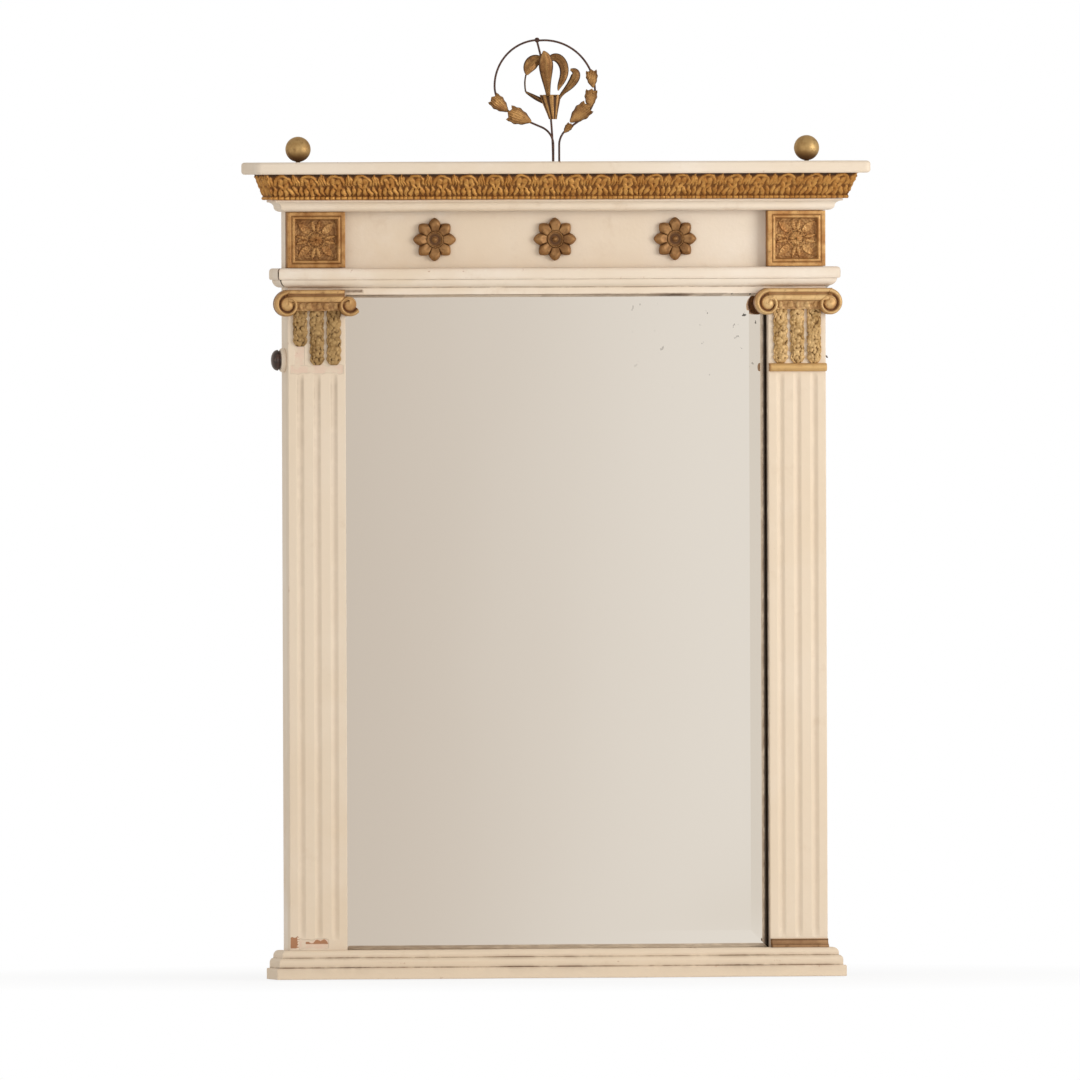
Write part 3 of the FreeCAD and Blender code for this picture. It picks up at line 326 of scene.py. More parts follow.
def skin(name, coats, material, nodes, body="frame", sharp=38.0):
    """One mesh of closed skins, put in place of CAD nodes.

    A coat is an array of loops of points with an edge and a hollow value for each point. Neighbouring
    loops are joined by quads and both end loops are capped. A coat whose enclosed volume comes out
    negative is turned inside out.
    """
    corners, faces, edges, hollows = [], [], [], []
    start = 0
    for points, edge, hollow in coats:
        loops, count = points.shape[:2]
        index = start + np.arange(loops * count).reshape(loops, count)
        ahead = np.roll(index, -1, axis=1)
        quads = np.stack([index[:-1], ahead[:-1], ahead[1:], index[1:]], axis=-1).reshape(-1, 4)
        caps = [index[0, ::-1], index[-1]]
        centred = points - points.mean(axis=(0, 1))
        turned = np.roll(centred, -1, axis=1)
        a, b, c, d = centred[:-1], turned[:-1], turned[1:], centred[1:]
        volume = np.sum(a * np.cross(b, c)) + np.sum(a * np.cross(c, d))
        for loop, sign in ((0, -1.0), (-1, 1.0)):
            middle = centred[loop].mean(axis=0)
            volume += sign * np.sum(middle * np.cross(centred[loop], turned[loop]))
        if volume < 0:
            quads = quads[:, ::-1]
            caps = [cap[::-1] for cap in caps]
        corners.append(points.reshape(-1, 3))
        faces += quads.tolist() + [cap.tolist() for cap in caps]
        edges.append(np.broadcast_to(edge, (loops, count)).ravel())
        hollows.append(np.broadcast_to(hollow, (loops, count)).ravel())
        start += loops * count
    mesh = bpy.data.meshes.new(name)
    mesh.from_pydata(np.vstack(corners).tolist(), [], faces)
    for key, values in (("edge", edges), ("hollow", hollows)):
        mesh.attributes.new(key, "FLOAT", "POINT").data.foreach_set("value", np.concatenate(values))
    mesh.polygons.foreach_set("use_smooth", np.ones(len(mesh.polygons), bool))
    mesh.set_sharp_from_angle(angle=math.radians(sharp))
    mesh.materials.append(material)
    piece = bpy.data.objects.new(name, mesh)
    bpy.context.scene.collection.objects.link(piece)
    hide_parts(*nodes)
    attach(piece, body)
    return piece


def clean(x, up):
    """No dirt anywhere along a moulding."""
    return 0.0 * x * up


def across_front(line, foot, soil, stations=260):
    """Moulding along the front: at share s from -1 to 1 a point stands at s times the half width plus
    its projection, so the ends lie in the mitres; its depth is the face less the projection."""
    points, edge, hollow = line
    share = np.r_[-1.0, -0.9968, np.linspace(-0.9945, 1.0, stations)][:, None]
    out = points[:, 0] - 0.0009 * edge * nicks(share * half_width, foot * 40)
    wide = half_width + np.maximum(out, 0.0)
    uneven = 0.00022 * sway(share * half_width, foot * 30) * (points[:, 0] > 0)
    x = share * wide
    y = face - out - uneven
    z = foot + points[:, 1] + 0.00015 * sway(share * half_width, foot * 50 + 2)
    dirty = hollow + soil(share * half_width, points[:, 1])
    return np.stack([x, y, np.broadcast_to(z, x.shape)], axis=-1), edge, dirty


def along_side(line, foot, side, end, stations=24):
    """Return along one side: from its mitre at the face less the projection, straight back to its end."""
    points, edge, hollow = line
    share = np.linspace(0.0, 1.0, stations)[:, None]
    out = np.maximum(points[:, 0], 0.0) - 0.0007 * edge * nicks(share * 0.1, foot * 40 + side)
    out = np.maximum(out, 0.0)
    y = (1 - share) * (face - out) + share * end
    x = side * (half_width + out)
    z = np.broadcast_to(foot + points[:, 1], x.shape)
    return np.stack([x, y, z], axis=-1), edge, hollow


def run_moulding(name, front_line, side_line, foot, end, material, soil=clean):
    """A front length, dirty where the soil says so, and two returns of one moulding."""
    skin(name + "_front", [across_front(front_line, foot, soil)], material, [name + "_front"])
    for side, word in ((-1, "_left_return"), (1, "_right_return")):
        skin(name + word, [along_side(side_line, foot, side, end)], material, [name + word])


def base_steps(back):
    """Plinth, quarter round and cove over a back at this projection."""
    quarter_foot = (quarter_projection, 0.022)
    cove_foot = (cove_projection, 0.0315)
    return (
        [(back, 0.0, 0.0005), (plinth_projection, 0.0, 0.0012), (plinth_projection, plinth_height, 0.0038)]
        + [(quarter_projection, plinth_height, 0.0007), (*quarter_foot, 0.0006)]
        + quarter_curve(quarter_foot, (cove_projection, quarter_height), False)
        + [(cove_projection, quarter_height, 0.0006), (*cove_foot, 0.0007)]
        + quarter_curve(cove_foot, (base_top_projection, base_height), False)
        + [(base_top_projection, base_height, 0.0006), (back, base_height, 0.0005)]
    )


def base_dirt_and_shade(x, up):
    """The ledges between the steps are darkened, more in some places than in others. The top is darkened
    all over: painted shade at the foot of the glass, with some dirt.
    """
    ledge = np.exp(-(((up - plinth_height) / 0.0030) ** 2)) + np.exp(-(((up - quarter_height) / 0.0028) ** 2))
    return ledge * (0.42 + 0.30 * sway(x, 2.0)) + 0.8 * (up > base_height - 0.0002)


base_cream = cream_paint("base_cream", 0.92)
run_moulding(
    "base",
    moulding_line(base_steps(face - board_back)),
    moulding_line(base_steps(0.0)),
    0.0,
    0.0,
    base_cream,
    base_dirt_and_shade,
)


# Pilasters: painted boards with three half-round flutes, planted on the stiles.
# Each flute dies out in a rounded stop above the base and below the capital's neck.
# Where strips and husks are lost, the left board shows rough darker patches, each outlined by a painted
# shade line. Both inner sides are painted dark as shade beside the glass, near black at the back.
flute_spacing = 0.023
flute_half_width = 0.0057
flute_depth = 0.0023
flute_foot = 0.0525
flute_head = 0.8130
arris = 0.0012


def highest(*forms):
    """The highest of several height fields at each place."""
    return functools.reduce(np.maximum, forms)


def fluted_board(low, high, inner, scars, chips):
    """Loops up the board, each a rectangle in plan whose front is the face pushed back by the flutes.

    A flute's depth is half a cosine wave across it, times the root of its distance from the nearer stop.
    A scar is a soft-edged rectangle from side to side and from foot to head, with a wavering outline;
    in a chip, a rectangle with a ragged right end and top, the wood is bare.
    """
    middle = (low.x + high.x) / 2
    half = (high.x - low.x) / 2
    ends = np.linspace(0.0, 0.03, 31)
    z = np.unique(np.r_[low.z, low.z + ends, flute_foot + ends, np.linspace(0.1, 0.78, 90)])
    neck = np.r_[np.linspace(0.812, 0.852, 44), np.linspace(0.853, high.z, 8)]
    z = np.unique(np.r_[z, flute_head - ends, neck])[:, None]
    across = np.linspace(-half, half, 161)[None, :]
    from_flute = (np.abs(across) + flute_spacing / 2) % flute_spacing - flute_spacing / 2
    in_row = np.abs(across) < 1.5 * flute_spacing
    wave = np.cos(math.pi * np.clip(from_flute / flute_half_width, -1.0, 1.0))
    round_share = (0.5 + 0.5 * wave) ** 0.7 * in_row
    stop = np.clip(np.minimum(z - flute_foot, flute_head - z) / 0.012, 0.0, 1.0)
    depth = flute_depth * round_share * np.sqrt(stop)
    corner = np.clip(1.0 - (half - np.abs(across)) / arris, 0.0, 1.0)
    worn = 1.0 + 1.5 * nicks(z, middle * 9)
    set_back = arris * (1.0 - np.sqrt(1.0 - corner ** 2)) * worn + depth
    scar = 0.0 * set_back
    waver = 0.0012 * sway(across * 9, 1.0)
    for scar_left, scar_right, scar_foot, scar_head in scars:
        upright = np.minimum(z - scar_foot + waver, scar_head - z + waver)
        inside = np.minimum(upright, np.minimum(across - scar_left, scar_right - across))
        scar = np.maximum(scar, np.clip(inside / 0.0014, 0.0, 1.0))
    front = face + set_back + 0.00015 * sway(z, middle * 20) + 0.0005 * scar
    x = np.broadcast_to(middle + across, front.shape)
    height = np.broadcast_to(z, front.shape)
    shown = np.stack([x, front, height], axis=-1)
    behind = np.stack([x[:, ::-1][:, ::40], np.full_like(front[:, ::40], high.y), height[:, ::40]], axis=-1)
    near_right, near_left = (
        np.stack([np.full_like(z, side), np.full_like(z, face + 1.8 * arris), z], axis=-1)
        for side in (high.x, low.x)
    )
    points = np.concatenate([shown, near_right, behind, near_left], axis=1)
    plain = np.zeros((len(z), 7))
    # The inner side is painted shade beside the glass: near black at the back, brown at the front, darker
    # lower down.
    side_shade = plain.copy()
    near, back = (0, 1) if inner > 0 else (6, 5)
    side_shade[:, near] = 0.7 - 0.6 * z[:, 0]
    side_shade[:, back] = 2.3
    ragged = 0.0016 * np.sin(1900 * z) + 0.0010 * np.sin(4100 * z + 1.0)
    chipped = 0.0 * set_back
    for chip_left, chip_right, chip_foot, chip_head in chips:
        wide = (across > chip_left) * (across < chip_right + ragged)
        chipped = np.maximum(chipped, wide * (z > chip_foot) * (z < chip_head + 3 * waver))
    edge = np.concatenate([highest(corner, 1.25 * scar, 2.0 * chipped), plain], axis=1)
    grime = 0.12 * round_share * np.sqrt(stop)
    runs = 4.0 * round_share * (1.0 - round_share) * np.sqrt(stop) * np.exp((z - flute_head) / 0.11)
    # A thin painted shade line outlines each scar.
    scar_rim_shade = 4.0 * scar * (1.0 - scar)
    marks = grime + 0.45 * (inner > 0) * runs + 0.10 * scar + 0.4 * scar_rim_shade
    hollow = np.concatenate([np.clip(marks, 0.0, 1.0), side_shade], axis=1)
    return points, edge, hollow


left_scars = [
    (-0.0275, 0.014, 0.0405, 0.0545),
    (-0.037, 0.037, 0.8135, 0.8258),
    (-0.031, -0.016, 0.824, 0.851),
]
left_chips = [(-0.0386, -0.0285, 0.0420, 0.0565), (-0.0180, 0.0130, 0.0472, 0.0512)]
for word, inner, scars, chips in (("left", 1, left_scars, left_chips), ("right", -1, [], [])):
    board = fluted_board(*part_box(word + "_pilaster"), inner, scars, chips)
    skin(word + "_pilaster", [board], handled_cream, [word + "_pilaster"])


# Gilt strips of the right pilaster: a half-round bar under its capital and a small moulding at its foot.
# Water gilding over red clay on turned and run pine, nailed across the flutes; the left pair is lost.
red_clay = (0.235, 0.062, 0.026, 1)
black_brown = (0.045, 0.020, 0.008, 1)


def gilding(name, body, light, shade, metal, fine=1.0, tooth=0.4):
    """Clouds of gold, brighter on points marked 1 as edge, a painted highlight on raised carving, dark on
    points marked hollow, which is patina in the hollows and painted shade where a mark is laid for shade, red
    where rubbed and on points marked 2 as edge. Fine shrinks all the clouds and tooth is the depth of the
    grain."""
    material, tree, shader, place = open_finish(name)
    place = drawn_out(tree, place, (fine, fine, fine))
    colour = mixed(tree, between(tree, cloud(tree, place, 26.0, 6.0, 0.62), 0.34, 0.68), body, light)
    # Points marked as edge take the light gold: a painted highlight.
    colour = mixed(tree, times(tree, mark(tree, "edge"), 0.7), colour, light)
    tarnish = between(tree, cloud(tree, place, 75.0, 6.0, 0.66), 0.5, 0.78)
    colour = mixed(tree, times(tree, tarnish, 0.75), colour, shade)
    sunk = mark(tree, "hollow")
    colour = mixed(tree, between(tree, sunk, 0.1, 0.7), colour, shade)
    # The deepest marks turn black brown: patina deep in the carving, and painted shade where a mark is laid
    # for it.
    colour = mixed(tree, between(tree, sunk, 0.75, 1.15), colour, black_brown)
    rubbed = between(tree, cloud(tree, place, 52.0, 7.0, 0.72), 0.62, 0.68)
    colour = mixed(tree, times(tree, rubbed, 0.6), colour, red_clay)
    colour = mixed(tree, between(tree, mark(tree, "edge"), 1.3, 1.9), colour, red_clay)
    tree.links.new(colour, shader.inputs["Base Color"])
    shine = node(tree, "MapRange", {"Value": sunk, "To Min": metal, "To Max": 0.1}).outputs["Result"]
    tree.links.new(shine, shader.inputs["Metallic"])
    grain = cloud(tree, place, 130.0, 5.0, 0.65)
    rough = node(tree, "MapRange", {"Value": grain, "To Min": 0.36, "To Max": 0.66}).outputs["Result"]
    tree.links.new(rough, shader.inputs["Roughness"])
    shader.inputs["Specular IOR Level"].default_value = 0.25
    bumped(tree, shader, grain, tooth, 0.0010 / fine)
    return material


pale_gilding = gilding(
    "pale_gilding", (0.62, 0.395, 0.165, 1), (0.75, 0.53, 0.265, 1), (0.36, 0.19, 0.07, 1), 0.5
)
copper_gilding = gilding(
    "copper_gilding", (0.250, 0.132, 0.060, 1), (0.385, 0.225, 0.110, 1), (0.135, 0.062, 0.022, 1), 0.35
)


def cross_strip(low, high, steps):
    """A short moulding across a pilaster: its section is carried straight from one side to the other."""
    points, edge, hollow = moulding_line(steps)
    x = np.linspace(low.x, high.x, 40)[:, None]
    out = points[:, 0] - 0.0006 * edge * nicks(x, 5.0)
    y = high.y - out
    z = low.z + points[:, 1] + 0.0001 * sway(x, 3.0)
    end = np.clip(1.0 - (x - low.x) / 0.004, 0.0, 1.0) + 0.0 * y
    return np.stack([x + 0.0 * y, y, z], axis=-1), edge, np.maximum(hollow, 0.9 * end)


bar_low, bar_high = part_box("right_necking_bar")
bar_height = bar_high.z - bar_low.z
bar_depth = bar_high.y - bar_low.y
bar_angle = np.linspace(-math.pi / 2, math.pi / 2, 15)
bar_steps = [(0.0, 0.0, 0.0003), (0.0018, 0.0, 0.0004)]
bar_steps += [
    (0.0025 + (bar_depth - 0.0025) * math.cos(a), bar_height * (0.5 + 0.5 * math.sin(a)), 0.0)
    for a in bar_angle
]
bar_steps += [(0.0018, bar_height, 0.0004), (0.0, bar_height, 0.0003)]
bar_strip = cross_strip(bar_low, bar_high, bar_steps)
skin("right_necking_bar", [bar_strip], pale_gilding, ["right_necking_bar"])

foot_low, foot_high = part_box("right_foot_moulding")
foot_depth = foot_high.y - foot_low.y
foot_steps = [(0.0, 0.0, 0.0003), (foot_depth, 0.0, 0.0006)]
foot_steps += [(foot_depth, 0.003, 0.0008), (0.0066, 0.0033, 0.0003)]
foot_steps += quarter_curve((0.0066, 0.0036), (0.0026, 0.0098), True)
foot_steps += [(0.0026, 0.0098, 0.0004), (0.0026, 0.0115, 0.0006), (0.0, 0.0115, 0.0003)]
foot_strip = cross_strip(foot_low, foot_high, foot_steps)
skin("right_foot_moulding", [foot_strip], copper_gilding, ["right_foot_moulding"])


# Husks: three strings of small leafy bells hang under each capital, cast in composition and gilded.
# They are glued to the board, and on the left the outer string has lost two bells. The left strings take a
# darker copy of the gilding: painted shade, as the left side is less brightly lit.
husk_length = 0.0126
husk_radius = 0.0103
husk_depth = 0.0064
husk_rise = 0.0100

husk_gilding = gilding(
    "husk_gilding",
    (0.350, 0.200, 0.062, 1),
    (0.675, 0.455, 0.212, 1),
    (0.158, 0.080, 0.025, 1),
    0.22, 2.0, 0.25,
)
shaded_husk_gilding = gilding(
    "shaded_husk_gilding",
    (0.236, 0.130, 0.040, 1),
    (0.470, 0.300, 0.124, 1),
    (0.112, 0.058, 0.018, 1),
    0.22, 2.0, 0.25,
)


def husk_string(middle, head, count):
    """A half tube down the string, covered with crumbs of leaf.

    Its radius swells once in each bell. The crumbs are small domes, six across and four rows to a bell,
    each pushed off its place, sized and toned by chance; the height at a place is that of the highest dome.
    """
    chance = np.random.default_rng(int(1000 * abs(middle)))
    down = np.linspace(0.0, count, 34 * count + 1)[:, None]
    turn = np.linspace(0.0, math.pi, 41)[None, :]
    swell = 0.86 + 0.14 * np.sin(math.pi * (down % 1.0)) ** 0.6
    swell = swell * np.clip((count + 0.12 - down) / 0.7, 0.0, 1.0) ** 0.35
    rows, columns = np.meshgrid(np.arange(4 * count), np.arange(6), indexing="ij")
    crumb_down = (rows + 0.5 + chance.uniform(-0.45, 0.45, rows.shape)).ravel() / 4
    crumb_place = columns + 0.5 * (rows % 2) + 0.25 + chance.uniform(-0.4, 0.4, rows.shape)
    crumb_turn = crumb_place.ravel() * math.pi / 6
    crumb_size = chance.uniform(0.0024, 0.0042, rows.size)
    crumb_height = chance.uniform(0.45, 1.0, rows.size)
    off_down = (down[:, :, None] - crumb_down) * husk_length
    off_turn = (turn[:, :, None] - crumb_turn) * husk_radius
    apart = (off_down ** 2 + off_turn ** 2) / crumb_size ** 2
    domes = crumb_height * np.sqrt(np.clip(1.0 - apart, 0.0, 1.0))
    relief = np.max(domes, axis=-1)
    tone = chance.uniform(0.0, 1.0, rows.size)[np.argmax(domes, axis=-1)]
    x = middle - husk_radius * swell * (0.88 + 0.14 * relief) * np.cos(turn)
    y = face - husk_depth * swell * (0.52 + 0.48 * relief) * np.sin(turn) ** 0.55
    z = head - husk_length * down + 0.0 * turn
    back = np.full_like(x[:, ::8], face + 0.0005)
    behind = np.stack([x[:, ::-1][:, ::8], back, z[:, ::-1][:, ::8]], axis=-1)
    points = np.concatenate([np.stack([x, y, z], axis=-1), behind], axis=1)
    none = np.zeros(behind.shape[:2])
    low = np.concatenate([np.clip(0.70 - 1.05 * relief + 0.40 * (0.5 - tone), 0.0, 0.68), none], axis=1)
    # Raised crumbs are marked as edge by height and a chance tone: a painted highlight, varied at random.
    high = np.concatenate([np.clip(relief - 0.42, 0.0, 0.4) * 3.4 * tone, none], axis=1)
    return points, high, low


for word, counts, finish in (("left", (4, 6, 6), shaded_husk_gilding), ("right", (6, 6, 6), husk_gilding)):
    husk_low, husk_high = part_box(word + "_husks")
    husk_middle = (husk_low.x + husk_high.x) / 2
    strings = [
        husk_string(husk_middle + (row - 1) * flute_spacing, husk_high.z + husk_rise, count)
        for row, count in enumerate(counts)
    ]
    skin(word + "_husks", strings, finish, [word + "_husks"], sharp=60.0)


# Ionic capitals carved in pine and gilded: two scrolls joined by a ribbed band over a row of eggs.
# They are glued and nailed to the boards; the left one's inner scroll has broken, leaving a hook.
# The right one takes a lighter copy of the gilding: painted light, as the right side is more brightly lit.
scroll_reach = 0.0204
scroll_ratio = 0.56
scroll_rib_share = 0.66
scroll_floor = 0.0125
scroll_rib_height = 0.0052
scroll_spread = 0.042

lit_capital_gilding = gilding(
    "lit_capital_gilding", (0.520, 0.300, 0.118, 1), (0.700, 0.478, 0.225, 1), (0.255, 0.112, 0.042, 1), 0.40, 1.6
)
carved_gilding = gilding(
    "carved_gilding", (0.42, 0.222, 0.080, 1), (0.61, 0.385, 0.165, 1), (0.205, 0.086, 0.032, 1), 0.40, 1.6
)


def scroll(middle_x, head, side, broken):
    """A scroll as rings round its eye, from the eye out to the edge and back to the board.

    The edge is a spiral that shrinks by a fixed ratio each turn from the top outwards. Counting turns
    inwards from the edge, the first part of the first turn is a half-round rib and the rest a channel
    that fills up towards its end; the rib runs on and flattens into a domed eye. On a broken scroll the
    first turn is missing from the top to below the side.
    """
    turn = np.linspace(0.0, 2 * math.pi, 220, endpoint=False)[None, :]
    edge_radius = scroll_reach * scroll_ratio ** (turn / (2 * math.pi))
    if broken:
        lost = 1.0 / (1.0 + np.exp((turn - 2.05) * 14.0))
        ragged = 1.0 + 0.05 * np.sin(23.0 * turn) * np.exp(-(((turn - 2.05) / 0.4) ** 2))
        edge_radius = edge_radius * (1.0 - lost * (1.0 - scroll_ratio)) * ragged
    share = np.linspace(0.03, 1.0, 60)[:, None]
    radius = share * edge_radius
    whole_edge = scroll_reach * scroll_ratio ** (turn / (2 * math.pi))
    inwards = np.log(whole_edge / radius) / math.log(1.0 / scroll_ratio)
    turns_in = np.where(inwards < 1.0, inwards, inwards - 1.0)
    rib = np.sin(math.pi * np.clip(turns_in / scroll_rib_share, 0.0, 1.0)) ** 0.5
    filled = highest(rib, 0.75 * (turns_in > scroll_rib_share / 2))
    dome = np.sqrt(np.clip(1.0 - (radius / (scroll_ratio * whole_edge)) ** 2, 0.0, 1.0))
    dome = dome * (0.6 if broken else 1.0)
    flat = np.clip(turn / 2.2, 0.0, 1.0)
    eye = (1.0 - flat) * filled + flat * dome
    fading = np.clip((turn - 4.6) / 1.6, 0.0, 1.0)
    lift = np.where(inwards < 1.0, (1.0 - fading) * rib + fading * filled, eye)
    front = face - scroll_floor - scroll_rib_height * lift
    centre_z = head - scroll_reach
    x = middle_x + side * radius * np.sin(turn)
    z = centre_z + radius * np.cos(turn)
    shown = np.stack([x, front, z], axis=-1)
    behind = np.stack([x[-1], np.full_like(x[-1], face + 0.0005), z[-1]], axis=-1)[None]
    points = np.concatenate([shown, behind], axis=0)
    sunk = np.clip(0.85 - 1.4 * lift, 0.0, 1.0) * (radius < 0.97 * edge_radius)
    # The ring back to the board is marked dark: painted shade on the scroll's side, which darkens its
    # reflection too.
    hollow = np.concatenate([sunk, np.full((1, sunk.shape[1]), 0.9)], axis=0)
    # Raised ribs are marked as edge by height, which the gilding paints lighter: a painted highlight.
    high = np.concatenate([np.clip(lift - 0.6, 0.0, 0.4) * 2.0, np.zeros((1, sunk.shape[1]))], axis=0)
    return points, high, hollow


def capital_band(middle_x, head, left_end, right_end):
    """The band between the scrolls: its section, carried across, is a rib, a groove, a wide roll and a
    sloping bed; worn eggs swell from the bed, each a dome on an oval, among crossing ripples."""
    across = np.linspace(left_end, right_end, 150)[:, None]
    drop = np.linspace(0.0, 0.0282, 90)[None, :]
    ending = np.clip(np.minimum(across - left_end, right_end - across) / 0.006, 0.0, 1.0) ** 0.5
    rib = ending * np.sqrt(np.clip(1.0 - ((drop - 0.0030) / 0.0030) ** 2, 0.0, 1.0))
    roll = ending * np.sqrt(np.clip(1.0 - ((drop - 0.0126) / 0.0044) ** 2, 0.0, 1.0))
    egg_pitch = 0.0118
    slipped = across + 0.0013 * np.sin(240 * across + 60 * middle_x)
    from_egg = (slipped + egg_pitch / 2) % egg_pitch - egg_pitch / 2
    oval = np.clip(1.0 - (from_egg / 0.0043) ** 2 - ((drop - 0.0224) / 0.0050) ** 2, 0.0, 1.0)
    bed = 0.0135 - 0.0050 * np.clip((drop - 0.0165) / 0.006, 0.0, 1.0)
    ripple = np.sin(530 * across + 260 * drop) * np.sin(710 * drop - 330 * across + 40 * middle_x)
    carved = (0.5 + 0.5 * ripple) * (drop > 0.0172)
    out = bed + 0.0038 * rib + 0.0030 * roll + 0.0026 * np.sqrt(oval) + 0.0010 * carved
    out = out + 0.0003 * sway(across * 6.0, middle_x)
    x = middle_x + across + 0.0 * out
    z = head - drop + 0.0 * out
    shown = np.stack([x, face - out, z], axis=-1)
    back = np.full_like(x[:, :2], face + 0.0002)
    behind = np.stack([x[:, :2], back, z[:, ::-1][:, :: z.shape[1] - 1]], axis=-1)
    points = np.concatenate([shown, behind], axis=1)
    lift = highest(rib, 0.95 * roll, 0.62 * np.sqrt(oval), 0.30 + 0.25 * carved)
    none = np.zeros(behind.shape[:2])
    sunk = np.clip(0.75 - 0.9 * lift, 0.0, 0.75)
    hollow = np.concatenate([sunk, none], axis=1)
    # Raised parts of the band are marked as edge by height: a painted highlight.
    high = np.concatenate([np.clip(lift - 0.6, 0.0, 0.4) * 3.1, none], axis=1)
    return points, high, hollow


for word, broken_side, finish in (("left", 1, carved_gilding), ("right", 0, lit_capital_gilding)):
    cap_low, cap_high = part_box(word + "_capital")
    cap_middle = (cap_low.x + cap_high.x) / 2
    scrolls = [
        scroll(cap_middle + side * scroll_spread, cap_high.z, side, side == broken_side) for side in (-1, 1)
    ]
    right_end = 0.036 if broken_side else 0.046
    band = capital_band(cap_middle, cap_high.z, -0.046, right_end)
    skin(word + "_capital", scrolls + [band], finish, [word + "_capital"], sharp=50.0)


# Architrave: a flat strip, a quarter round and a soft-edged upper band in one painted moulding.
# The front length carries the strip; the returns start above it, and the left mitre has opened, shown only
# by a near-black line of painted shade.
strip_height = 0.0102
quirk = 0.002
round_projection = 0.013
round_top = 0.0206
band_projection = 0.017
architrave_height = 0.036


def architrave_steps(back, with_strip):
    """Strip, quarter round and upper band over a back at this projection."""
    round_foot = (quirk, strip_height)
    foot = [(back, 0.0, 0.0004), (0.0, 0.0, 0.0008), (0.0, 0.0042, 0.0), (0.0, 0.0052, 0.0)]
    foot += [(0.0, 0.0062, 0.0), (0.0, strip_height, 0.0006)]
    if not with_strip:
        foot = [(back, strip_height, 0.0004)]
    return (
        foot
        + [(*round_foot, 0.0005)]
        + quarter_curve(round_foot, (round_projection, round_top), True)
        + [(round_projection, round_top, 0.0005), (band_projection - 0.0012, round_top, 0.0004)]
        + [(band_projection, round_top + 0.0022, 0.0045), (band_projection, architrave_height, 0.0052)]
        + [(back, architrave_height, 0.0005)]
    )


def architrave_marks_and_shade(x, up):
    """A near-black line of painted shade in the open mitre on the left, old glue on the strip, and darkening
    along the strip's lower edge in two stretches.
    """
    crack_shade = 2.2 * (x < -0.9955 * half_width) * (up > strip_height + 0.001)
    low_edge = np.clip(1.0 - up / 0.0016, 0.0, 1.0)
    glue = 1.5 * (x > -0.306) * (x < -0.267) * (np.abs(up - 0.0052) < 0.0012)
    below = (x > -0.015) * (x < 0.235) + (x > -0.275) * (x < -0.205)
    darker_stretches = (0.9 + 0.7 * sway(x, 4.0)) * below
    return highest(crack_shade, glue, low_edge * np.clip(darker_stretches, 0.0, 1.6))


run_moulding(
    "architrave",
    moulding_line(architrave_steps(face - board_back, True)),
    moulding_line(architrave_steps(0.0, False)),
    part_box("architrave_front")[0].z,
    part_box("architrave_left_return")[1].y,
    aged_cream,
    architrave_marks_and_shade,
)


# Corner blocks of the frieze: square panels with a raised border and a sunk flower.
# Carved in one piece with their borders, gilded, and glued to the ends of the frieze. The right one takes
# a lighter copy of the gilding: painted light, as the right side is more brightly lit.
border_flat = 0.0056
border_width = 0.0108
panel_sink = 0.0046
corner_carving = 0.0036

lit_block_gilding = gilding(
    "lit_block_gilding", (0.430, 0.203, 0.066, 1), (0.650, 0.395, 0.158, 1), (0.205, 0.088, 0.027, 1), 0.45, 2.4
)
block_gilding = gilding(
    "block_gilding", (0.350, 0.160, 0.050, 1), (0.550, 0.315, 0.120, 1), (0.160, 0.066, 0.020, 1), 0.45, 2.4
)


